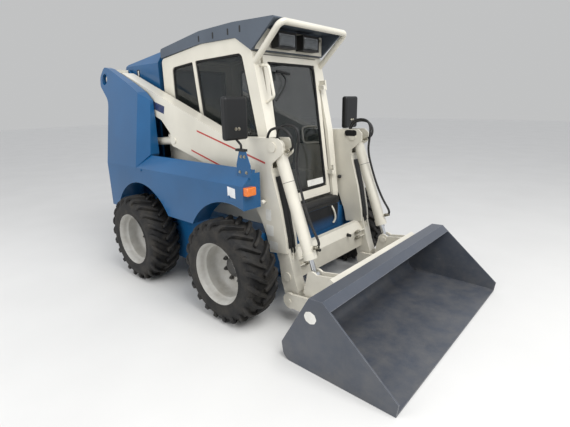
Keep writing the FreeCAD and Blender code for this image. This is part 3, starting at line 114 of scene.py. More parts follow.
# %% A finish and its one way to add nodes
class Finish:
    """A material with one Principled shader, built up node by node."""

    def __init__(self, name, roughness=0.5, **constants):
        self.name = name
        self.material = bpy.data.materials.new(name)
        self.material.use_nodes = True
        self.tree = self.material.node_tree
        self.shader = self.tree.nodes["Principled BSDF"]
        self.shader.inputs["Roughness"].default_value = roughness
        for socket, value in constants.items():
            self.shader.inputs[socket.replace("_", " ")].default_value = value

    def node(self, kind, settings=None, sockets=None, out=0):
        """Adds a node: its settings first, then the values or links of its sockets."""
        made = self.tree.nodes.new(kind)
        for setting, value in (settings or {}).items():
            setattr(made, setting, value)
        for socket, value in (sockets or {}).items():
            self.feed(made.inputs[socket], value)
        return Value(self, made.outputs[out])

    def feed(self, socket, value):
        """Links a Value to a socket, or sets the socket to a number or colour."""
        if isinstance(value, Value):
            self.tree.links.new(value.socket, socket)
        else:
            socket.default_value = value

    def place(self):
        """A point's place in the loader's own frame, in metres."""
        return self.node("ShaderNodeTexCoord", out=3)

    def height(self):
        """How far a point is above the ground, in metres."""
        return self.node("ShaderNodeSeparateXYZ", sockets={"Vector": self.place()}, out=2)

    def noise(self, scale, detail=3.0, stretch=None, roughness=0.5):
        """Soft random mottling, with scale in lumps per metre."""
        where = self.place()
        if stretch:
            where = self.node("ShaderNodeVectorMath", {"operation": "MULTIPLY"}, {0: where, 1: stretch})
        return self.node("ShaderNodeTexNoise", sockets={"Vector": where, "Scale": scale, "Detail": detail,
                                                        "Roughness": roughness})

    def waves(self, way, scale):
        """Even ribs across one way, such as those of a lens."""
        return self.node("ShaderNodeTexWave", {"wave_type": "BANDS", "bands_direction": way},
                         {"Vector": self.place(), "Scale": scale})

    def mix(self, factor, low, high):
        """A colour that goes from low to high as the factor goes from 0 to 1."""
        return self.node("ShaderNodeMix", {"data_type": "RGBA"}, {0: factor, 6: low, 7: high}, out=2)

    def edge(self, radius):
        """Near 1 along edges and corners, where paint wears first, and 0 on flat stretches."""
        rounded = self.node("ShaderNodeBevel", {"samples": 4}, {"Radius": radius})
        flat = self.node("ShaderNodeNewGeometry", out=1)
        agree = self.node("ShaderNodeVectorMath", {"operation": "DOT_PRODUCT"}, {0: rounded, 1: flat}, out=1)
        return agree.between(0.995, 0.9)

    def bump(self, height, distance):
        """Feeds a height, in parts of the distance, to the shader's normal."""
        normal = self.node("ShaderNodeBump", sockets={"Height": height, "Distance": distance, "Strength": 1.0})
        self.feed(self.shader.inputs["Normal"], normal)

    def surface(self, **channels):
        """Feeds the shader's own sockets, such as Base_Color and Roughness."""
        for socket, value in channels.items():
            self.feed(self.shader.inputs[socket.replace("_", " ")], value)
        return self


SIDES = (("left", 1), ("right", -1))


def rgb(*screen):
    """A colour written as on a screen, 0 to 255, as the linear numbers that shaders use."""
    parts = [value / 255.0 for value in screen]
    return tuple(v / 12.92 if v <= 0.04045 else ((v + 0.055) / 1.055) ** 2.4 for v in parts) + (1.0,)


def darker(colour, share):
    """A share of a colour's light."""
    return tuple(share * part for part in colour[:3]) + (1.0,)


def stained(name, clean, stain, spots, share, roughness, grain=None, **constants):
    """A finish that turns from clean to stained in soft spots. The spots are noise, by scale, detail and the range
    that they fade in over. The roughness is a clean value and what a stain adds. The grain is noise, by scale,
    detail and height in metres."""
    finish = Finish(name, **constants)
    spot = finish.noise(*spots[:2]).between(*spots[2:])
    finish.surface(Base_Color=finish.mix(spot * share, clean, stain), Roughness=roughness[0]
                   + spot * roughness[1])
    if grain:
        finish.bump(finish.noise(*grain[:2]), grain[2])
    return finish

# %% [markdown]
# ## Painted panels
# Loader panels are sprayed steel. The colour is even, but three things keep it from looking like plastic: the
# sprayed film is slightly wavy (orange peel), it is a little duller in some places, and pale dust settles low
# down, where the wheels throw it. The dust fades out with height, broken up by noise.
# %% Paint
PALE_DUST = rgb(142, 136, 124)


def dust(finish, low, high, most):
    """How dusty each place is: most at the low height, none above the high one."""
    fall = 1.0 - finish.height().between(low, high)
    patches = finish.noise(7.0, 6.0, roughness=0.7).between(0.3, 0.75)
    return fall * patches * most


def paint(name, colour, roughness=0.32, dusty=0.5, dust_top=0.9, peel=0.0003, coat=0.35):
    """Sprayed paint of one colour, with orange peel and road dust."""
    finish = Finish(name, Coat_Roughness=0.12, Specular_IOR_Level=0.5)
    cloudy = finish.noise(2.3, 4.0)
    tone = finish.mix(cloudy.between(0.35, 0.7), darker(colour, 0.82), colour)
    dirt = dust(finish, 0.15, dust_top, dusty)
    finish.surface(Base_Color=finish.mix(dirt, tone, PALE_DUST),
                   Roughness=roughness + dirt * 0.5 + cloudy * 0.06,
                   Coat_Weight=(1.0 - dirt) * coat)
    finish.bump(finish.noise(160.0, 2.0), peel)
    return finish


blue_paint = paint("blue_paint", rgb(14, 84, 132), dusty=0.1, coat=0.25)
white_paint = paint("white_paint", rgb(226, 221, 206), roughness=0.3, dusty=0.3)
rim_paint = paint("rim_paint", rgb(196, 195, 190), roughness=0.4, dusty=0.85, dust_top=1.6)
black_paint = paint("black_paint", rgb(30, 31, 33), roughness=0.42, dusty=0.35)
cast_block = paint("cast_block", rgb(66, 68, 70), roughness=0.6, dusty=0.5, dust_top=1.4, peel=0.0008)
print("paints:", blue_paint.material.name, white_paint.material.name)

# %% [markdown]
# ## The bucket's paint
# The bucket is slate grey and meets stone and earth. It gets long fine scratches along the way that earth
# slides, a paler worn line on every edge, and dust. Edges are found with a Bevel node: where the rounded
# normal and the real one disagree, an edge is near.
# %% Bucket paint
def worn_paint(name, colour, bare):
    """Paint that is scratched along X and rubbed down on its edges."""
    finish = Finish(name, Coat_Roughness=0.25, Specular_IOR_Level=0.4)
    scratches = finish.noise(9.0, 8.0, stretch=(1.2, 14.0, 3.0), roughness=0.75).between(0.6, 0.8)
    blotches = finish.noise(3.1, 5.0).between(0.3, 0.75)
    rubbed = finish.edge(0.004) * finish.noise(38.0, 4.0).between(0.3, 0.6)
    tone = finish.mix(blotches, darker(colour, 0.85), colour)
    scuffed = finish.mix(scratches * 0.35, tone, bare)
    dirt = dust(finish, 0.0, 0.6, 0.3)
    finish.surface(Base_Color=finish.mix(dirt, finish.mix(rubbed * 0.6, scuffed, bare), PALE_DUST),
                   Roughness=0.42 + scratches * 0.15 + dirt * 0.4 - rubbed * 0.1,
                   Coat_Weight=(1.0 - dirt) * 0.25)
    finish.bump(finish.noise(120.0, 3.0) - scratches * 0.5, 0.0005)
    return finish


bucket_paint = worn_paint("bucket_paint", rgb(70, 76, 87), rgb(140, 142, 146))

# %% [markdown]
# ## Plastic, glass and rubber
# The roof is one moulding of textured plastic, so its bump is a fine pebble. Glass is thin and tinted: a
# low Alpha lets the cab show through while the surface keeps its reflections. Tyre rubber is nearly black,
# greyed by dust in soft patches and fine specks.
# %% Moulded plastics
def moulded(name, colour, roughness, pebble, dusty=0.25, dust_top=1.0):
    """Textured plastic with a fine pebble."""
    finish = Finish(name, Specular_IOR_Level=0.45)
    grain = finish.node("ShaderNodeTexVoronoi", {"feature": "SMOOTH_F1"},
                        {"Vector": finish.place(), "Scale": 420.0, "Smoothness": 0.6})
    streaks = finish.noise(4.0, 5.0, stretch=(1.0, 1.0, 0.4)).between(0.3, 0.75)
    dirt = dust(finish, 0.2, dust_top, dusty)
    tone = finish.mix(streaks, darker(colour, 0.8), colour)
    finish.surface(Base_Color=finish.mix(dirt, tone, PALE_DUST), Roughness=roughness + grain * 0.12
                   + dirt * 0.2)
    finish.bump(grain, pebble)
    return finish


roof_plastic = moulded("roof_plastic", rgb(84, 93, 104), 0.5, 0.0004)
black_plastic = moulded("black_plastic", rgb(18, 19, 20), 0.42, 0.0003, dusty=0.12)


# %% Glass and lenses
def tinted_glass():
    """Thin safety glass with a green grey tint and a trace of dust."""
    finish = Finish("clear_glass", roughness=0.04, Specular_IOR_Level=0.7)
    film = finish.noise(5.0, 5.0, stretch=(1.0, 1.0, 0.5)).between(0.45, 0.9)
    finish.surface(Base_Color=finish.mix(film * 0.25, rgb(26, 32, 31), rgb(110, 112, 106)),
                   Alpha=film * 0.1 + 0.42, Roughness=film * 0.12 + 0.03)
    return finish


def lens(name, colour):
    """Ribbed lens of coloured plastic over a reflector."""
    finish = Finish(name, roughness=0.12, Specular_IOR_Level=0.6, Coat_Weight=0.6)
    ribs = finish.waves("Z", 45.0)
    finish.surface(Base_Color=finish.mix(ribs * 0.35, colour, darker(colour, 0.55)))
    finish.bump(ribs, 0.0012)
    return finish


clear_glass = tinted_glass()
orange_lens = lens("orange_lens", rgb(235, 120, 30))
red_lens = lens("red_lens", rgb(170, 22, 20))


# %% Rubber, vinyl and chrome
def dusty_rubber():
    """Black rubber, greyed by dust in soft patches and fine specks."""
    finish = Finish("tyre_rubber", Specular_IOR_Level=0.35)
    mottled = finish.noise(11.0, 6.0, roughness=0.65)
    fine = finish.noise(90.0, 4.0)
    dirt = mottled.between(0.42, 0.75) * 0.4 + fine.between(0.5, 0.8) * 0.15
    finish.surface(Base_Color=finish.mix(dirt, rgb(17, 17, 18), rgb(84, 79, 71)), Roughness=0.62 + dirt * 0.3)
    finish.bump(fine * 0.6 + mottled * 0.4, 0.0012)
    return finish


tyre_rubber = dusty_rubber()
# Black seat vinyl, worn a little paler, with a leather grain
seat_vinyl = stained("seat_vinyl", rgb(20, 20, 22), rgb(38, 38, 40), (9.0, 3.0, 0.35, 0.8), 1.0, (0.5, -0.12),
                     Specular_IOR_Level=0.4)
grain = seat_vinyl.node("ShaderNodeTexVoronoi", {"feature": "DISTANCE_TO_EDGE"},
                        {"Vector": seat_vinyl.place(), "Scale": 260.0})
seat_vinyl.bump(grain.between(0.0, 0.12), 0.0004)
# Hard chrome on a cylinder rod, with a film of oil
chrome_rod = stained("chrome_rod", rgb(214, 216, 218), rgb(150, 146, 136), (14.0, 4.0, 0.4, 0.8), 0.4,
                     (0.1, 0.16),
                     (400.0, 2.0, 0.00005), Metallic=1.0)

# %% [markdown]
# ## Finishes on the solid nodes
# The record of the solid model names a material slot for every node. The finishes above carry the same
# names, so one loop dresses every node.
# %% Dress the solid nodes
FINISHES = {finish.name: finish for finish in (
    blue_paint, white_paint, rim_paint, black_paint, cast_block, bucket_paint, roof_plastic, black_plastic,
    clear_glass, orange_lens, red_lens, tyre_rubber, seat_vinyl, chrome_rod)}


def dress(thing, finish):
    """Gives a mesh one finish all over."""
    thing.data.materials.clear()
    thing.data.materials.append(finish.material)


for part in frame["record"]["subparts"]:
    dress(frame["nodes"][part["node"]], FINISHES[part["material_slot"]])
dress(frame["nodes"]["header_panel"], white_paint)

# %% [markdown]
# ## Turned forms
# Tyres, rims, hubs and nuts are all turned round an axle. One helper takes half an outline as (radius, across)
# pairs and spins it. Smooth shading with a sharp-edge angle keeps the lips crisp and the walls round.
# %% Helpers for meshes
def add_piece(name, mesh, finish, body=None):
    """Puts a mesh in the scene in one finish, on a body if one is named."""
    thing = bpy.data.objects.new(name, mesh)
    bpy.context.collection.objects.link(thing)
    dress(thing, finish)
    if body:
        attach(thing, body)
    return thing


def make_mesh(name, points, faces, finish, body, smooth=True, sharp=40.0):
    """A piece made of points and faces, shaded smooth except at corners sharper than the angle."""
    mesh = bpy.data.meshes.new(name)
    mesh.from_pydata([tuple(p) for p in points], [], faces)
    shape = bmesh.new()
    shape.from_mesh(mesh)
    bmesh.ops.recalc_face_normals(shape, faces=shape.faces)
    for edge in shape.edges:
        if len(edge.link_faces) == 2 and edge.calc_face_angle(0.0) > math.radians(sharp):
            edge.smooth = False
    for face in shape.faces:
        face.smooth = smooth
    shape.to_mesh(mesh)
    shape.free()
    return add_piece(name, mesh, finish, body)


def lathe(profile, segments):
    """Points and faces of an open outline of (radius, across) pairs, spun round the Y axis."""
    points, faces = [], []
    for step in range(segments):
        turn = 2 * math.pi * step / segments
        points += [(radius * math.cos(turn), across, radius * math.sin(turn)) for radius, across in profile]
    count = len(profile)
    for step in range(segments):
        here, there = step * count, (step + 1) % segments * count
        faces += [(here + i, here + i + 1, there + i + 1, there + i) for i in range(count - 1)]
    return points, faces


def add_shape(points, faces, more_points, more_faces):
    """Appends one shape's points and faces to another's."""
    start = len(points)
    points += more_points
    faces += [tuple(start + i for i in face) for face in more_faces]


def moved(points, offset):
    """Points shifted by an offset."""
    return [tuple(a + b for a, b in zip(point, offset)) for point in points]


def mirrored(points, side):
    """Points on the left of the machine, or their mirror image on the right."""
    return [(x, side * y, z) for x, y, z in points]


# %% [markdown]
# ## Tyres
# A loader tyre has long curved lugs. Each starts just past the middle of the tread, sweeps back as it goes out,
# and runs down over the shoulder. Left and right lugs interleave, half a step apart. The lug is a trapezoid that
# follows that path, and a loop places it all round. The tips reach the solid tyre's radius and no further.
# %% One tyre with its lugs
CARCASS = ((0.2235, 0.122), (0.229, 0.13), (0.24, 0.1315), (0.249, 0.1275), (0.262, 0.1285), (0.29, 0.1318),
           (0.318, 0.129), (0.336, 0.121), (0.348, 0.108), (0.355, 0.088), (0.3595, 0.05), (0.361, 0.0))
LUGS_A_SIDE = 22
LUG_SWEEP = math.radians(17.0)
# A lug's path: share of its length, radius of its top, distance from the tyre's middle, half width
LUG_PATH = ((0.00, 0.38, -0.012, 0.008), (0.05, 0.3862, -0.004, 0.0125), (0.25, 0.3864, 0.026, 0.0135),
            (0.5, 0.386, 0.062, 0.015), (0.72, 0.3835, 0.094, 0.0165), (0.84, 0.377, 0.114, 0.0175),
            (0.92, 0.362, 0.127, 0.0175), (0.97, 0.342, 0.1315, 0.0165), (1.00, 0.32, 0.1312, 0.014))


def lug(turn, side):
    """One tread lug: rings of six points along its path, each from its foot in the carcass over its top."""
    points = []
    for share, radius, across, half_width in LUG_PATH:
        angle = turn + LUG_SWEEP * share ** 1.25
        deep = 0.028 if across < 0.12 else 0.034
        foot_radius, foot_across = radius - deep, across
        if across > 0.1:
            slide = min(1.0, (across - 0.1) / 0.03)
            foot_radius, foot_across = radius - deep * (1 - slide * 0.75), across - 0.024 * slide
        for along, height in ((-1.45, 0.0), (-1.0, 0.93), (-0.78, 1.0), (0.78, 1.0), (1.0, 0.93), (1.45, 0.0)):
            r = foot_radius + (radius - foot_radius) * height
            y = foot_across + (across - foot_across) * height
            bend = angle + along * half_width / radius
            points.append((r * math.cos(bend), side * y, r * math.sin(bend)))
    faces = []
    for ring in range(len(LUG_PATH) - 1):
        a, b = ring * 6, ring * 6 + 6
        faces += [(a + i, a + i + 1, b + i + 1, b + i) for i in range(5)]
    last = (len(LUG_PATH) - 1) * 6
    faces += [(0, 1, 2, 3, 4, 5), tuple(last + i for i in reversed(range(6)))]
    return points, faces


def tyre_shape():
    """The carcass and all its lugs, round the origin."""
    profile = list(CARCASS) + [(radius, -across) for radius, across in reversed(CARCASS[:-1])]
    points, faces = lathe(profile, 120)
    step = 2 * math.pi / LUGS_A_SIDE
    for number in range(LUGS_A_SIDE):
        add_shape(points, faces, *lug(number * step, 1))
        add_shape(points, faces, *lug((number + 0.5) * step, -1))
    return points, faces


TYRE_POINTS, TYRE_FACES = tyre_shape()
print("one tyre has", len(TYRE_FACES), "faces")

# %% [markdown]
# ## Rims
# The rim is a pressed steel dish, welded well inside the barrel, so the wheel looks deep. Eight nuts hold it to
# a black hub that pokes through its middle.
# %% Rim, hub and nuts
RIM_PROFILE = ((0.2345, 0.124), (0.235, 0.1275), (0.232, 0.13), (0.227, 0.129), (0.2225, 0.1215),
               (0.2165, 0.109),
               (0.212, 0.1), (0.2105, 0.082), (0.204, 0.07), (0.196, 0.062), (0.1935, 0.04),
               (0.1925, 0.0000), (0.19, -0.018), (0.18, -0.033), (0.16, -0.045), (0.14, -0.052),
               (0.132, -0.056), (0.08, -0.056), (0.078, -0.058))
RIM_BACK = ((0.2345, -0.124), (0.227, -0.129), (0.2225, -0.1215), (0.212, -0.1), (0.21, -0.06),
            (0.196, -0.045), (0.19, -0.024))
HUB_PROFILE = ((0.0785, -0.06), (0.076, -0.036), (0.072, -0.03), (0.056, -0.028), (0.054, -0.022),
               (0.05, -0.017), (0.01, -0.015), (0.0004, -0.015))
NUTS = 8
NUT_CIRCLE = 0.1065
NUT_PROFILE = ((0.019, -0.056), (0.019, -0.052), (0.015, -0.052), (0.015, -0.036), (0.0125, -0.0335),
               (0.0075, -0.0335), (0.0075, -0.026), (0.0005, -0.0255))


def wheel(end, side_name, side):
    """Tyre, rim, hub and nuts at one wheel; they replace the solid tyre and rim."""
    place = end + "_" + side_name
    low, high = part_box("tyre_" + place)
    middle = [(a + b) / 2 for a, b in zip(low, high)]
    body = "wheel_" + place

    tyre = make_mesh("tread_" + place, moved(mirrored(TYRE_POINTS, side), middle), TYRE_FACES, tyre_rubber,
                     body, sharp=35.0)
    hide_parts("tyre_" + place)

    points, faces = lathe(RIM_PROFILE, 96)
    add_shape(points, faces, *lathe(RIM_BACK, 96))
    dish = make_mesh("dish_" + place, moved(mirrored(points, side), middle), faces, rim_paint, body, sharp=30.0)
    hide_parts("rim_" + place)

    points, faces = lathe(HUB_PROFILE, 48)
    for number in range(NUTS):
        turn = 2 * math.pi * (number + 0.5) / NUTS
        nut_points, nut_faces = lathe(NUT_PROFILE, 6)
        nut_at = (NUT_CIRCLE * math.cos(turn), 0, NUT_CIRCLE * math.sin(turn))
        add_shape(points, faces, moved(nut_points, nut_at), nut_faces)
    hub = make_mesh("hub_" + place, moved(mirrored(points, side), middle), faces, black_paint, body, sharp=25.0)


for end in ("rear", "front"):
    for side_name, side in SIDES:
        wheel(end, side_name, side)
print("four wheels, each a tyre, a dish and a hub")

# %% [markdown]
# ## The seat
# The driver sits on two foam pads covered with black vinyl. Foam pushes the cover out, and seams pull it back in.
# Cloth simulation does the first part: the pad's shape is remeshed finely, then blown up a little with gravity
# off. A cap on how far each point moves keeps it the size of the solid pad. The seams come afterwards, as
# grooves, because the remesh would wipe them out.
# %% Pads from cloth
PAD_VOXEL = 0.008
PAD_PRESSURE = 4.0
PAD_CAP = 0.012
SEAM_DEPTH = 0.007
SEAM_WIDTH = 0.007


def shrunk_pad(node, name, start):
    """A remeshed copy of a solid pad, a little smaller than it."""
    source = frame["nodes"][node]
    mesh = source.data.copy()
    pad = bpy.data.objects.new(name, mesh)
    bpy.context.collection.objects.link(pad)
    low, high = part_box(node)
    middle = (Vector(low) + Vector(high)) / 2
    size = Vector(high) - Vector(low)
    for vertex in mesh.vertices:
        offset = vertex.co - middle
        vertex.co = middle + Vector([o * (1 - 2 * start / s) for o, s in zip(offset, size)])
    remesh = pad.modifiers.new("remesh", "REMESH")
    remesh.mode = "VOXEL"
    remesh.voxel_size = PAD_VOXEL
    apply_modifiers(pad)
    return pad


def apply_modifiers(thing):
    """Bakes an object's modifiers into its mesh."""
    result = bpy.data.meshes.new_from_object(thing.evaluated_get(bpy.context.evaluated_depsgraph_get()))
    thing.modifiers.clear()
    thing.data = result


def blow_up(pad):
    """Inflates the pad with cloth and caps how far each point went."""
    before = [vertex.co.copy() for vertex in pad.data.vertices]
    cloth = pad.modifiers.new("cloth", "CLOTH")
    cloth.settings.use_pressure = True
    cloth.settings.uniform_pressure_force = PAD_PRESSURE
    cloth.settings.effector_weights.gravity = 0.0
    cloth.settings.quality = 5
    cloth.point_cache.frame_start = 1
    cloth.point_cache.frame_end = 20
    for step in range(1, 21):
        bpy.context.scene.frame_set(step)
    apply_modifiers(pad)
    bpy.context.scene.frame_set(1)
    for vertex, start in zip(pad.data.vertices, before):
        shift = vertex.co - start
        if shift.length > PAD_CAP:
            vertex.co = start + shift.normalized() * PAD_CAP


def groove(pad, distance, normal_test):
    """Sinks a sewn seam: every point near it moves in along its normal. The normals are read before any point
    moves, because Blender works all of them out again after each change."""
    normals = [vertex.normal.copy() for vertex in pad.data.vertices]
    for vertex, normal in zip(pad.data.vertices, normals):
        if normal_test(normal):
            vertex.co -= normal * SEAM_DEPTH * math.exp(-(distance(vertex.co) / SEAM_WIDTH) ** 2)


def seat_pad(node, name, seams, normal_test):
    """One padded piece that stands for a solid pad."""
    pad = shrunk_pad(node, name, PAD_CAP)
    blow_up(pad)
    finer = pad.modifiers.new("finer", "SUBSURF")
    finer.levels = 1
    apply_modifiers(pad)
    groove(pad, seams, normal_test)
    for face in pad.data.polygons:
        face.use_smooth = True
    dress(pad, seat_vinyl)
    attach(pad, "machine")
    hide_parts(node)
    print(name, "has", len(pad.data.polygons), "faces")


CHANNEL_PITCH = 0.085
BOLSTER_Y = 0.15


def channel_seams(start, along):
    """Distance to the nearest seam: two long ones beside the bolsters and short ones across between them."""
    def distance(point):
        side = abs(abs(point.y) - BOLSTER_Y)
        run = (point[along] - start) % CHANNEL_PITCH
        across = min(run, CHANNEL_PITCH - run)
        return min(side, across) if abs(point.y) < BOLSTER_Y else side
    return distance


cushion_low, cushion_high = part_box("seat_cushion")
back_low, back_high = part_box("seat_back")
seat_pad("seat_cushion", "cushion_pad", channel_seams(cushion_low[0] + 0.03, 0), lambda n: n.z > 0.3)
seat_pad("seat_back", "back_pad", channel_seams(back_low[2] + 0.05, 2), lambda n: n.x > 0.3)

# %% [markdown]
# ## Stripes and blank labels
# Two thin red stripes run down the outside of each arm. They are vinyl film, so each is its own thin sheet, a few
# tenths of a millimetre off the paint. The labels stay blank. The drawings measure X from the middle of the wheelbase,
# as the solid model's source does, and one shift takes them to the frame of the whole machine.
# %% Film
SHIFT_X = -0.327
FILM_OFF = 0.0006


def film_finish(name, colour):
    """Printed vinyl film, a little cloudy with age."""
    return stained(name, colour, PALE_DUST, (18.0, 4.0, 0.4, 0.8), 0.3, (0.35, 0.15), (90.0, 2.0, 0.0002),
                   Specular_IOR_Level=0.5)


red_film = film_finish("red_film", rgb(186, 52, 46))
navy_film = film_finish("navy_film", rgb(38, 52, 92))
white_film = film_finish("white_film", rgb(226, 228, 230))


def side_film(name, outline, y, finish, body, side):
    """A flat sheet of film on a side face, from (x, z) corners."""
    points = [(x + SHIFT_X, side * (y + FILM_OFF), z) for x, z in outline]
    make_mesh(name, points, [tuple(range(len(points)))], finish, body, smooth=False)


def stripe_outline(start, end, width):
    """A thin band between two points, cut upright at both ends."""
    return (start, end, (end[0], end[1] - width), (start[0], start[1] - width))


ARM_FACE_Y = 0.56
FENDER_FACE_Y = 0.765
STRIPE_WIDTH = 0.013
# Name, start and end of each stripe's upper edge
STRIPES = (("upper", (0.034, 1.349), (0.781, 1.157)), ("lower", (-0.057, 1.191), (0.684, 0.996)))
for side_name, side in SIDES:
    for name, start, end in STRIPES:
        side_film("stripe_" + name + "_" + side_name, stripe_outline(start, end, STRIPE_WIDTH), ARM_FACE_Y,
                  red_film,
                  "lift_arms", side)
    side_film("arm_label_" + side_name, ((-0.607, 1.59), (-0.395, 1.531), (-0.412, 1.468), (-0.624, 1.527)),
              ARM_FACE_Y,
              navy_film, "lift_arms", side)
    side_film("reflector_" + side_name, ((0.612, 1.003), (0.69, 0.993), (0.69, 0.925), (0.612, 0.935)),
              FENDER_FACE_Y,
              white_film, "machine", side)
print("stripes and blank labels on both sides")

# %% [markdown]
# ## Hoses
# Oil reaches the tilt cylinders and the quick couplers through rubber hoses. Each one is a smooth curve: a NURBS
# spline runs near its control points without a kink, as a stiff hose does. A round bevel gives the curve its
# thickness, and the result is kept as a mesh. A crimped steel ferrule closes each hose, so one is turned on its end.
# %% Tubes along a route
HOSE_RADIUS = 0.009
FERRULE_REACH = 0.034
PIPE_RADIUS = 0.006


def tube(name, route, radius, finish, body, closed=False, sides=4):
    """A round tube that follows a smooth curve through space."""
    curve = bpy.data.curves.new(name, "CURVE")
    curve.dimensions = "3D"
    curve.bevel_depth = radius
    curve.bevel_resolution = sides
    curve.use_fill_caps = not closed
    spline = curve.splines.new("NURBS")
    spline.points.add(len(route) - 1)
    for point, place in zip(spline.points, route):
        point.co = (*place, 1.0)
    spline.order_u = 3
    spline.resolution_u = 6
    spline.use_endpoint_u = not closed
    spline.use_cyclic_u = closed
    line = bpy.data.objects.new(name, curve)
    bpy.context.collection.objects.link(line)
    mesh = bpy.data.meshes.new_from_object(line.evaluated_get(bpy.context.evaluated_depsgraph_get()))
    bpy.data.objects.remove(line)
    for face in mesh.polygons:
        face.use_smooth = True
    add_piece(name, mesh, finish, body)


def turned_piece(name, profile, at, towards, finish, body, segments=24, sharp=30.0):
    """An outline of (radius, along) pairs spun round a line from one place towards another."""
    points, faces = lathe(profile, segments)
    way = (Vector(towards) - Vector(at)).normalized()
    turn = Vector((0.0, 1.0, 0.0)).rotation_difference(way)
    placed = [turn @ Vector(point) + Vector(at) for point in points]
    make_mesh(name, placed, faces, finish, body, sharp=sharp)


# Satin black hose rubber with a faint wrapped weave and dust
hose_rubber = stained("hose_rubber", rgb(17, 17, 18), rgb(88, 84, 78), (21.0, 4.0, 0.5, 0.8), 0.3, (0.42, 0.2),
                      Specular_IOR_Level=0.45)
hose_rubber.bump(hose_rubber.waves("DIAGONAL", 160.0), 0.0003)
# Zinc plated steel of fittings, dull and slightly yellow
zinc_steel = stained("zinc_steel", rgb(176, 172, 158), rgb(120, 112, 96), (60.0, 4.0, 0.4, 0.75), 1.0,
                     (0.32, 0.2),
                     (300.0, 2.0, 0.0001), Metallic=0.9)
FERRULE = ((0.0095, -0.002), (0.0125, 0.000), (0.0125, 0.008), (0.0115, 0.01), (0.0125, 0.012), (0.0125, 0.024),
           (0.0105, 0.027), (0.0105, 0.03), (0.014, 0.031), (0.014, 0.042), (0.0005, 0.042))
GROMMET = ((0.0085, -0.004), (0.0165, -0.004), (0.0185, 0.000), (0.0185, 0.004), (0.014, 0.008),
           (0.0088, 0.009))

# %% Hoses of the tilt cylinders
# Routes on the left machine side, from the cylinder's port over the knee and down through the arm's top plate
LOWER_PORT_HOSE = ((0.835, 0.5, 0.606), (0.862, 0.5, 0.616), (0.872, 0.497, 0.65), (0.806, 0.492, 0.74),
                   (0.744, 0.486, 0.865), (0.694, 0.48, 1.003), (0.655, 0.472, 1.144), (0.672, 0.466, 1.26),
                   (0.676, 0.464, 1.35), (0.64, 0.464, 1.398), (0.56, 0.466, 1.404), (0.5, 0.462, 1.38),
                   (0.482, 0.46, 1.34), (0.48, 0.46, 1.312))
UPPER_PORT_HOSE = ((0.601, 0.5, 1.233), (0.64, 0.502, 1.247), (0.668, 0.512, 1.272), (0.664, 0.524, 1.33),
                   (0.62, 0.53, 1.38), (0.54, 0.53, 1.39), (0.462, 0.528, 1.365), (0.448, 0.526, 1.308))
# Two hoses half sunk in the channel down the front of the leg; the tilt cylinder swings back to within a few
# millimetres of them
LEG_HOSE = ((0.52, 0.484, 1.05), (0.536, 0.484, 0.998), (0.5765, 0.484, 0.86), (0.604, 0.484, 0.74),
            (0.6275, 0.484, 0.626), (0.64, 0.484, 0.56), (0.65, 0.484, 0.522))
LEG_HOSE_STEP = (0.0, 0.026, -0.012)
LEG_HOSE_RADIUS = 0.0075
CHANNEL = ((0.525, 1.06), (0.5455, 0.99), (0.5855, 0.839), (0.6275, 0.632), (0.6375, 0.56))
CHANNEL_HALF = 0.036


def hose(name, route, body):
    """A hose with a ferrule at its start."""
    tube(name, route, HOSE_RADIUS, hose_rubber, body)
    at, inwards = Vector(route[0]), Vector(route[1])
    turned_piece(name + "_ferrule_0", FERRULE, at + (inwards - at).normalized() * FERRULE_REACH,
                 at * 2 - inwards,
                 zinc_steel, body)


for side_name, side in SIDES:
    barrel = "tilt_barrel_" + side_name
    hose("lower_port_hose_" + side_name, mirrored(LOWER_PORT_HOSE, side), barrel)
    hose("upper_port_hose_" + side_name, mirrored(UPPER_PORT_HOSE, side), barrel)
    for number, route in enumerate((LOWER_PORT_HOSE, UPPER_PORT_HOSE)):
        x, y, z = route[-1]
        turned_piece("grommet_" + str(number) + "_" + side_name, GROMMET, (x, side * y, 1.3085),
                     (x, side * y, 1.4),
                     black_plastic, "lift_arms", sharp=60.0)
    for number in range(2):
        step = [number * s for s in LEG_HOSE_STEP]
        route = [tuple(a + b for a, b in zip(point, step)) for point in LEG_HOSE]
        tube("leg_hose_" + str(number) + "_" + side_name, mirrored(route, side), LEG_HOSE_RADIUS,
             hose_rubber, "lift_arms")
    # A black sheet down the front of the leg stands for the channel that the hoses lie in: painted shade of its recess
    edge_y = (side * (0.5 - CHANNEL_HALF), side * (0.5 + CHANNEL_HALF))
    points = [(x + 0.0012, y, z) for x, z in CHANNEL for y in edge_y]
    faces = [(2 * i, 2 * i + 1, 2 * i + 3, 2 * i + 2) for i in range(len(CHANNEL) - 1)]
    make_mesh("leg_channel_painted_shade_" + side_name, points, faces, black_plastic, "lift_arms")
print("eight hoses and their fittings")

# %% [markdown]
# ## Pipes and quick couplers
# Below each pair of hoses, white steel pipes turn inwards along the cross member and end in two quick couplers with
# dust caps. The coupler is turned: a hexagon nut, a ball sleeve and the nose.
# %% Pipes and couplers
COUPLER = ((0.006, -0.004), (0.0125, -0.004), (0.0125, 0.01), (0.0105, 0.012), (0.0105, 0.018), (0.015, 0.02),
           (0.015, 0.027), (0.014, 0.028), (0.015, 0.029), (0.015, 0.04), (0.011, 0.042), (0.0105, 0.054),
           (0.007, 0.055), (0.007, 0.044), (0.0005, 0.044))
DUST_CAP = ((0.0005, 0.000), (0.016, 0.000), (0.016, 0.004), (0.0125, 0.006), (0.0125, 0.03), (0.0105, 0.033),
            (0.0005, 0.034))
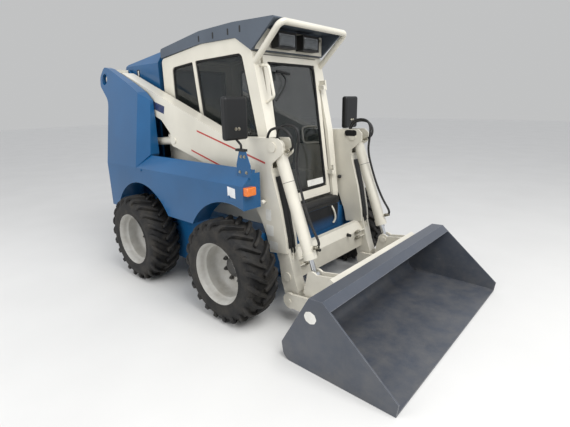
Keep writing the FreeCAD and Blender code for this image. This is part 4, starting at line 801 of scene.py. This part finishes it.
# Height of each coupler, and how far from the middle it starts
COUPLERS = ((0.458, 0.372), (0.405, 0.38))
CROSS_FACE_X = 0.6415
PIPE_X = 0.657
for side_name, side in SIDES:
    for number, (z, y) in enumerate(COUPLERS):
        hose_y = LEG_HOSE[-1][1] + LEG_HOSE_STEP[1] * number
        route = mirrored(((LEG_HOSE[-1][0], hose_y, 0.53), (PIPE_X, hose_y, 0.5), (PIPE_X, hose_y, z + 0.03),
                          (PIPE_X, hose_y, z), (PIPE_X, hose_y - 0.03, z), (PIPE_X, y, z)), side)
        tube("coupler_pipe_" + str(number) + "_" + side_name, route, PIPE_RADIUS, white_paint, "lift_arms")
        turned_piece("coupler_" + str(number) + "_" + side_name, COUPLER, (PIPE_X, side * y, z),
                     (PIPE_X, 0, z), zinc_steel,
                     "lift_arms", segments=12)
        clip_y = side * (y + 0.015)
        tube("pipe_clip_" + str(number) + "_" + side_name,
             ((CROSS_FACE_X - 0.004, clip_y, z), (PIPE_X + 0.004, clip_y, z)),
             0.009, white_paint, "lift_arms")
    cap_y = side * 0.215
    turned_piece("dust_cap_" + side_name, DUST_CAP, (CROSS_FACE_X - 0.001, cap_y, 0.462), (1.0, cap_y, 0.462),
                 black_plastic, "lift_arms")
print("four quick couplers with their pipes")

# %% [markdown]
# ## Window rubbers
# The panes sit in black rubber sections. A rubber is one closed tube that follows the pane's edge, so its corners
# are given as (across, up, radius) and rounded with a few points each.
# %% Rounded outlines
ARC_STEPS = 5


def rounded(corners):
    """Points of a polygon whose corners are arcs of their own radius."""
    points = []
    count = len(corners)
    for number, (x, z, radius) in enumerate(corners):
        here = Vector((x, z))
        before = Vector(corners[number - 1][:2]) - here
        after = Vector(corners[(number + 1) % count][:2]) - here
        reach = radius / math.tan(before.angle(after) / 2)
        first = here + before.normalized() * reach
        last = here + after.normalized() * reach
        for step in range(ARC_STEPS):
            share = step / (ARC_STEPS - 1)
            points.append(first * (1 - share) ** 2 + here * (2 * share * (1 - share)) + last * share ** 2)
    return points


def subdivided(points, spacing):
    """A closed run of points with more of them on its long stretches."""
    result = []
    for here, there in zip(points, points[1:] + points[:1]):
        steps = max(1, int((there - here).length / spacing))
        result += [here.lerp(there, step / steps) for step in range(steps)]
    return result


# Matt black rubber of the seals
seal_rubber = stained("seal_rubber", rgb(15, 15, 16), rgb(70, 68, 64), (30.0, 4.0, 0.5, 0.85), 0.4, (0.58, 0.2),
                      (220.0, 2.0, 0.0002), Specular_IOR_Level=0.3)

# %% Seals of the side windows, the rear window and the door
SEAL_RADIUS = 0.0095
PANE_Y = 0.392
BACK_PANE = ((-0.779, 1.188, 0.036), (-0.779, 1.845, 0.036), (-0.499, 1.869, 0.014), (-0.404, 1.188, 0.014))
FRONT_PANE = ((-0.356, 1.188, 0.014), (-0.448, 1.874, 0.014), (0.09, 1.887, 0.045), (0.231, 1.308, 0.055),
              (0.247, 1.188, 0.026))
for side_name, side in SIDES:
    for name, corners in (("back", BACK_PANE), ("front", FRONT_PANE)):
        outline = [(p.x, side * PANE_Y, p.y) for p in subdivided(rounded(corners), 0.02)]
        tube("seal_" + name + "_" + side_name, outline, SEAL_RADIUS, seal_rubber, "machine", closed=True,
             sides=2)
back_corners = ((-0.292, 1.248, 0.05), (-0.292, 1.842, 0.05), (0.292, 1.842, 0.05), (0.292, 1.248, 0.05))
outline = [(-0.924, p.x, p.y) for p in subdivided(rounded(back_corners), 0.02)]
tube("seal_rear", outline, SEAL_RADIUS, seal_rubber, "machine", closed=True, sides=2)

DOOR_SLOPE = -0.143
DOOR_FOOT = (0.3655, 0.846)


def on_door(y, z, off=0.0):
    """A place on the outer face of the door's pane, which leans back."""
    return (DOOR_FOOT[0] + DOOR_SLOPE * (z - DOOR_FOOT[1]) + off, y, z)


door_corners = ((-0.27, 0.854, 0.06), (-0.27, 1.826, 0.06), (0.27, 1.826, 0.06), (0.27, 0.854, 0.06))
outline = [on_door(p.x, p.y) for p in subdivided(rounded(door_corners), 0.02)]
tube("seal_door", outline, 0.011, seal_rubber, "front_door", closed=True, sides=2)
print("seals of four side panes, the rear window and the door")

# %% [markdown]
# ## Softly edged blocks
# Housings, pads and handles are blocks with rounded edges. The helper builds the block, rounds all its edges with a
# bevel of a few segments, and shades it smooth.
# %% Blocks with rounded edges
def pillow_block(name, low, high, radius, finish, body):
    """A block with rounded edges."""
    shape = bmesh.new()
    bmesh.ops.create_cube(shape, size=1.0)
    middle = (Vector(low) + Vector(high)) / 2
    size = Vector(high) - Vector(low)
    for vertex in shape.verts:
        vertex.co = middle + vertex.co * size
    bmesh.ops.bevel(shape, geom=shape.edges[:], offset=radius, segments=4, profile=0.5, affect="EDGES")
    mesh = bpy.data.meshes.new(name)
    shape.to_mesh(mesh)
    shape.free()
    for face in mesh.polygons:
        face.use_smooth = True
    add_piece(name, mesh, finish, body)


# %% [markdown]
# ## Work lamps
# Behind each lamp's ribbed glass there is a bright bowl with a bulb. The bowl is a grid that sinks towards its
# middle; the glass is a second grid that bulges a little.
# %% Lamp bowls and glasses
def clear_cover():
    """Clear ribbed glass of a lamp."""
    finish = Finish("lamp_cover", roughness=0.05, Specular_IOR_Level=0.9)
    ribs = finish.waves("Y", 26.0)
    finish.surface(Base_Color=finish.mix(ribs * 0.4, rgb(120, 126, 128), rgb(70, 76, 78)),
                   Alpha=ribs * 0.25 + 0.25)
    finish.bump(ribs, 0.002)
    return finish


lamp_cover = clear_cover()
lamp_mirror = Finish("lamp_mirror", roughness=0.2, Metallic=1.0)
lamp_mirror.surface(Base_Color=lamp_mirror.mix(lamp_mirror.noise(30.0, 2.0), rgb(96, 98, 100),
                                               rgb(140, 142, 144)))
BOWL_STEPS = 12


def bowl(name, low, high, x, depth, finish):
    """A rectangular grid across Y and Z whose middle stands off the plane by a depth."""
    points, faces = [], []
    for row in range(BOWL_STEPS + 1):
        for column in range(BOWL_STEPS + 1):
            u, v = column / BOWL_STEPS, row / BOWL_STEPS
            away = (1 - (2 * u - 1) ** 4) * (1 - (2 * v - 1) ** 4)
            points.append((x + depth * away, low[0] + (high[0] - low[0]) * u, low[1] + (high[1] - low[1]) * v))
    for row in range(BOWL_STEPS):
        for column in range(BOWL_STEPS):
            at = row * (BOWL_STEPS + 1) + column
            faces.append((at, at + 1, at + BOWL_STEPS + 2, at + BOWL_STEPS + 1))
    make_mesh(name, points, faces, finish, "machine", sharp=80.0)


LAMP_X = 0.3035
BULB = ((0.0005, 0.02), (0.006, 0.018), (0.008, 0.012), (0.007, 0.004), (0.006, -0.004), (0.011, -0.005),
        (0.011, -0.01))
for side_name, side in SIDES:
    low = (min(side * 0.054, side * 0.226), 1.94)
    high = (max(side * 0.054, side * 0.226), 2.021)
    bowl("lamp_bowl_" + side_name, low, high, LAMP_X + 0.004, -0.006, lamp_mirror)
    bowl("lamp_glass_" + side_name, low, high, LAMP_X + 0.001, 0.009, lamp_cover)
    middle_y = (low[0] + high[0]) / 2
    turned_piece("lamp_bulb_" + side_name, BULB, (LAMP_X - 0.004, middle_y, 1.981), (1.0, middle_y, 1.981),
                 lamp_cover,
                 "machine", segments=16)
print("two work lamps")

# %% [markdown]
# ## Inside and on the cab
# Through the glass the wiper motor shows at the top of the door, with its arm hanging down, and a white pull
# handle on the far side. Below the door there is a padded black roll, over the dark opening for the feet.
# %% Wiper, handles and the padded roll
pillow_block("wiper_motor", (0.165, -0.33, 1.7), (0.222, -0.17, 1.772), 0.018, black_plastic, "front_door")
tube("wiper_arm", (on_door(-0.15, 1.752, 0.02), on_door(-0.12, 1.735, 0.022), on_door(-0.11, 1.69, 0.02),
                   on_door(-0.17, 1.62, 0.018), on_door(-0.245, 1.56, 0.016)), 0.007, black_plastic,
                   "front_door")
tube("wiper_bar", (on_door(-0.2, 1.77, 0.016), on_door(-0.13, 1.764, 0.018), on_door(-0.06, 1.756, 0.016)),
     0.01,
     black_plastic, "front_door")
tube("pull_handle", (on_door(0.255, 1.345, -0.012), on_door(0.25, 1.348, -0.06), on_door(0.17, 1.346, -0.065),
                     on_door(0.12, 1.34, -0.065), on_door(0.118, 1.28, -0.065), on_door(0.122, 1.22, -0.065),
                     on_door(0.17, 1.214, -0.065), on_door(0.25, 1.212, -0.06), on_door(0.255, 1.214, -0.012)),
     0.0085, white_paint, "front_door")
tube("step_roll", ((0.44, -0.318, 0.73), (0.442, -0.2, 0.733), (0.442, 0.000, 0.734), (0.442, 0.2, 0.733),
                   (0.44, 0.318, 0.73)), 0.033, seat_vinyl, "machine", sides=6)
print("wiper, handle and roll")

# %% [markdown]
# ## Small fittings
# Thin things that lie on a face are cut from sheet: a rounded outline in the face's own two directions, given a
# thickness and a fine bevel. A place function turns (across, up, off the face) into the machine's frame.
# %% Sheets on a face
def cut_sheet(name, corners, place, thick, finish, body, edge=0.0):
    """A flat piece with rounded corners that stands a little off a face."""
    outline = rounded(corners)
    count = len(outline)
    points = [place(p.x, p.y, 0.0) for p in outline] + [place(p.x, p.y, thick) for p in outline]
    faces = [tuple(range(count)), tuple(range(2 * count - 1, count - 1, -1))]
    faces += [(i, (i + 1) % count, count + (i + 1) % count, count + i) for i in range(count)]
    thing = make_mesh(name, points, faces, finish, body, sharp=50.0)
    if edge:
        bevel = thing.modifiers.new("edge", "BEVEL")
        bevel.width = edge
        bevel.segments = 3
        bevel.limit_method = "ANGLE"
        apply_modifiers(thing)


def box_corners(left, low, right, high, radius):
    """The four corners of a rectangle, each with the same arc."""
    return ((left, low, radius), (right, low, radius), (right, high, radius), (left, high, radius))


def on_side(y, side):
    """A face that looks outwards at a distance from the middle; a negative side is the right."""
    return lambda across, up, off: (across, side * (y + off), up)


def inwards(y, side):
    """A face that looks towards the middle of the machine."""
    return lambda across, up, off: (across, side * (y - off), up)


blank_film = film_finish("blank_film", rgb(222, 221, 214))
LABEL_THICK = 0.0006
ARM_LABELS = ((0.446, 0.745, 0.496, 0.826), (0.446, 0.632, 0.516, 0.712), (0.476, 0.536, 0.556, 0.596))
OVAL_PAD = ((0.448, 1.262, 0.562, 1.312, 0.0245), 0.01)
for side_name, side in SIDES:
    for number, (left, low, right, high) in enumerate(ARM_LABELS):
        cut_sheet("blank_label_" + str(number) + "_" + side_name, box_corners(left, low, right, high, 0.008),
                  on_side(0.5602, side), LABEL_THICK, blank_film, "lift_arms")
    corners, thick = OVAL_PAD
    cut_sheet("oval_pad_" + side_name, box_corners(*corners), inwards(0.4398, side), thick, seal_rubber,
              "lift_arms",
              edge=0.003)
cut_sheet("door_label", box_corners(0.03, 0.872, 0.246, 0.922, 0.003), lambda y, z,
          off: on_door(y, z, off + 0.0004),
          LABEL_THICK, blank_film, "front_door")
cut_sheet("window_label", box_corners(-0.462, 1.828, -0.434, 1.856, 0.002), on_side(0.3922, -1),
          LABEL_THICK, blank_film,
          "machine")
BUCKET_LABEL = [(1.103 + 0.045 * math.cos(a * math.pi / 4), 0.361 + 0.04 * math.sin(a * math.pi / 4), 0.016)
                for a in range(8)]
cut_sheet("bucket_label", BUCKET_LABEL, on_side(0.8966, -1), LABEL_THICK, blank_film, "tool")

# %% Mirror glass, hood latch, and painted shade behind the louvres and in the roof grooves
mirror_glass = stained("mirror_glass", rgb(190, 196, 198), rgb(140, 142, 140), (12.0, 3.0, 0.5, 0.9), 0.3,
                       (0.04, 0.1), Metallic=1.0)
ROOF_GROOVES = ((-0.373, 2.06), (-0.2, 2.065), (-0.027, 2.07), (0.102, 2.075))
for side_name, side in SIDES:
    cut_sheet("mirror_glass_" + side_name, box_corners(0.62, 1.33, 0.782, 1.572, 0.02),
              lambda y, z, off: (0.2948 - off, side * y, z), 0.0006, mirror_glass, "machine")
    cut_sheet("hood_latch_" + side_name, box_corners(-1.396, 1.806, -1.344, 1.872, 0.012),
              on_side(0.3982, side), 0.0006,
              black_plastic, "hood")
    cut_sheet("hood_strip_" + side_name, box_corners(-1.38, 1.816, -1.36, 1.862, 0.004),
              on_side(0.399, side), 0.0006,
              blank_film, "hood")
    # Black sheets in the roof's side grooves: painted shade of the recesses
    for number, (x, top) in enumerate(ROOF_GROOVES):
        cut_sheet("roof_groove_painted_shade_" + str(number) + "_" + side_name,
                  box_corners(x - 0.008, top - 0.045, x + 0.008, top, 0.007),
                  on_side(0.4161, side), 0.0005, black_plastic, "machine")
# A black sheet just inside the rear door, behind its louvres: painted shade of the dark space beyond them
cut_sheet("louvre_painted_shade", box_corners(-0.31, 0.985, 0.31, 1.5, 0.01), lambda y, z,
          off: (-1.6185 + off, y, z), 0.001,
          black_plastic, "rear_door")
pillow_block("gate_latch", (-1.6605, -0.4, 0.985), (-1.644, -0.356, 1.095), 0.006, black_plastic, "rear_door")
print("mirror glasses, latches, screen and grooves")

# %% [markdown]
# ## Knobs, bolts and beads
# Turned knobs, hexagon bolts and weld beads tell the eye how large the machine is. Bolts come in rows, so a table
# holds each row's first and last place, its count and the way that the heads point.
# %% Knobs and bolts
KNOB = ((0.006, -0.002), (0.006, 0.012), (0.013, 0.014), (0.0155, 0.02), (0.0155, 0.034), (0.011, 0.04),
        (0.0005, 0.041))
BOLT = ((0.0125, -0.001), (0.0125, 0.0012), (0.0092, 0.0014), (0.0092, 0.006), (0.0078, 0.0072),
        (0.0005, 0.0074))
for side_name, side in SIDES:
    turned_piece("arm_knob_" + side_name, KNOB, (0.415, side * 0.441, 0.907), (0.415, 0.0, 0.907),
                 black_plastic, "lift_arms")
    turned_piece("arm_stop_" + side_name, KNOB, (0.446, side * 0.559, 0.88), (0.446, side, 0.88),
                 white_paint, "lift_arms")
# Name, first head, last head, count, way, finish and body, on the left; all but the first two rows are mirrored
BOLT_ROWS = (
    ("bumper", (-1.627, -0.36, 0.41), (-1.627, 0.36, 0.41), 4, (-1, 0, 0), black_paint, "machine", False),
    ("header", (0.226, -0.36, 2.03), (0.226, 0.36, 2.03), 5, (1, 0, 0), zinc_steel, "machine", False),
    ("fender", (-0.86, 0.765, 1.000), (0.3, 0.765, 0.93), 2, (0, 1, 0), blue_paint, "machine", True),
    ("tower_rear", (-1.487, 0.62, 0.72), (-1.487, 0.62, 0.86), 2, (-1, 0, 0), blue_paint, "machine", True),
    ("bracket", (0.355, 0.704, 1.1), (0.418, 0.704, 1.1), 2, (0, 1, 0), zinc_steel, "machine", True),
    ("bracket_top", (0.372, 0.704, 1.205), (0.405, 0.704, 1.205), 2, (0, 1, 0), zinc_steel, "machine", True),
    ("mirror", (0.349, 0.688, 1.385), (0.349, 0.716, 1.385), 2, (1, 0, 0), zinc_steel, "machine", True),
)


def bolt_row(name, first, last, count, way, finish, body):
    """A row of hexagon heads in one mesh."""
    points, faces = [], []
    turn = Vector((0.0, 1.0, 0.0)).rotation_difference(Vector(way))
    for number in range(count):
        at = Vector(first).lerp(Vector(last), number / max(1, count - 1))
        head, head_faces = lathe(BOLT, 6)
        add_shape(points, faces, [turn @ Vector(point) + at for point in head], head_faces)
    make_mesh("bolts_" + name, points, faces, finish, body, sharp=25.0)


for name, first, last, count, way, finish, body, both in BOLT_ROWS:
    bolt_row(name + "_left" if both else name, first, last, count, way, finish, body)
    if both:
        flip = lambda place: (place[0], -place[1], place[2])
        bolt_row(name + "_right", flip(first), flip(last), count, flip(way), finish, body)
print(len(BOLT_ROWS), "rows of bolts")

# %% Weld beads and seams
BARREL_SEAM_AT = 0.252
TILT_TOP = Vector((0.523, 0.5, 1.262))
TILT_WAY = Vector((0.3496, 0.0, -0.9369))
TILT_OUT = Vector((0.9369, 0.0, 0.3496))
SEAM_RADIUS = 0.043
for side_name, side in SIDES:
    middle = TILT_TOP + TILT_WAY * BARREL_SEAM_AT
    ring = []
    for step in range(24):
        turn = 2 * math.pi * step / 24
        ring.append(middle + TILT_OUT * (SEAM_RADIUS * math.cos(turn))
                    + Vector((0, SEAM_RADIUS * math.sin(turn), 0)))
    tube("barrel_seam_" + side_name, mirrored(ring, side), 0.0016, seal_rubber, "tilt_barrel_" + side_name,
         closed=True, sides=1)
    inner = side * 0.8855
    tube("bucket_bead_" + side_name, ((0.892, inner, 0.118), (0.905, inner, 0.06), (0.915, inner, 0.014),
                                      (1.2, inner, 0.0115), (1.63, inner, 0.0115)), 0.0045, bucket_paint,
                                      "tool", sides=2)
print("seams and beads")

# %% [markdown]
# ## The opening for the feet, as painted shade
# Under the padded roll the cab is open to the foot well. The solid tub closes it, so a sheet on its face carries
# painted
# shade in place of the opening: near black under the roll, and blue lower down, where light falls on the floor.
# %% Foot opening
# The foot opening as painted shade: near black above 0.61 m, under the roll, and the blue of the lit floor below 0.53
# m
opening = Finish("foot_opening_painted_shade", roughness=0.6)
depth = opening.height().between(0.53, 0.61)
uneven = opening.noise(6.0, 3.0).between(0.3, 0.7) * 0.3
opening.surface(Base_Color=opening.mix(depth, rgb(22, 66, 104), rgb(9, 11, 14)), Roughness=0.55 + uneven)
opening.bump(opening.noise(60.0, 3.0), 0.0006)
# The sheet on the tub's face that carries this painted shade
cut_sheet("foot_opening_painted_shade", box_corners(-0.325, 0.5, 0.325, 0.694, 0.012), lambda y, z,
          off: (0.4634 + off, y, z), 0.0008,
          opening, "machine")
tube("foot_lever", ((0.452, 0.235, 0.69), (0.474, 0.24, 0.66), (0.478, 0.262, 0.61), (0.482, 0.268, 0.56),
                    (0.47, 0.25, 0.53)), 0.009, white_paint, "machine")
print("foot opening")

# %% [markdown]
# ## Floor and light
# The picture has a plain pale floor and the even light of a clouded sky. The world is that sky. A large
# soft lamp stands where the brightest part of it is, high and in front, to give the shadow under the belly.
# %% Floor
FLOOR_SIZE = 60.0
floor_mesh = bpy.data.meshes.new("floor")
half = FLOOR_SIZE / 2
floor_mesh.from_pydata([(-half, -half, 0), (half, -half, 0), (half, half, 0), (-half, half, 0)], [],
                       [(0, 1, 2, 3)])
floor_finish = Finish("floor_finish", roughness=0.85)
floor_finish.surface(Base_Color=floor_finish.mix(floor_finish.noise(1.5, 6.0), rgb(212, 211, 208),
                                                 rgb(222, 221, 218)))
floor = add_piece("floor", floor_mesh, floor_finish)

# %% World
world = bpy.data.worlds.new("cloudy_sky")
bpy.context.scene.world = world
world.use_nodes = True
sky = world.node_tree.nodes["Background"]
SKY_STRENGTH = 0.75
sky.inputs["Color"].default_value = (0.94, 0.96, 1.0, 1.0)
sky.inputs["Strength"].default_value = SKY_STRENGTH
seen = world.node_tree.nodes.new("ShaderNodeBackground")
seen.inputs["Color"].default_value = (0.535, 0.54, 0.542, 1.0)
ray = world.node_tree.nodes.new("ShaderNodeLightPath")
choose = world.node_tree.nodes.new("ShaderNodeMixShader")
world.node_tree.links.new(ray.outputs["Is Camera Ray"], choose.inputs[0])
world.node_tree.links.new(sky.outputs[0], choose.inputs[1])
world.node_tree.links.new(seen.outputs[0], choose.inputs[2])
world.node_tree.links.new(choose.outputs[0], world.node_tree.nodes["World Output"].inputs[0])


# %% Lamps
def soft_lamp(name, at, towards, size, watts):
    """A large square lamp that points at a place."""
    data = bpy.data.lights.new(name, "AREA")
    data.shape = "SQUARE"
    data.size = size
    data.energy = watts
    lamp = bpy.data.objects.new(name, data)
    lamp.location = at
    lamp.rotation_euler = (Vector(towards) - Vector(at)).to_track_quat("-Z", "Y").to_euler()
    bpy.context.collection.objects.link(lamp)


soft_lamp("sky_lamp", (4.0, -1.0, 5.5), (0.2, 0.0, 0.6), 4.0, 320)
soft_lamp("side_lamp", (-1.5, -5.5, 3.5), (0.0, 0.0, 0.9), 3.5, 110)
bpy.context.scene.view_settings.view_transform = "Standard"
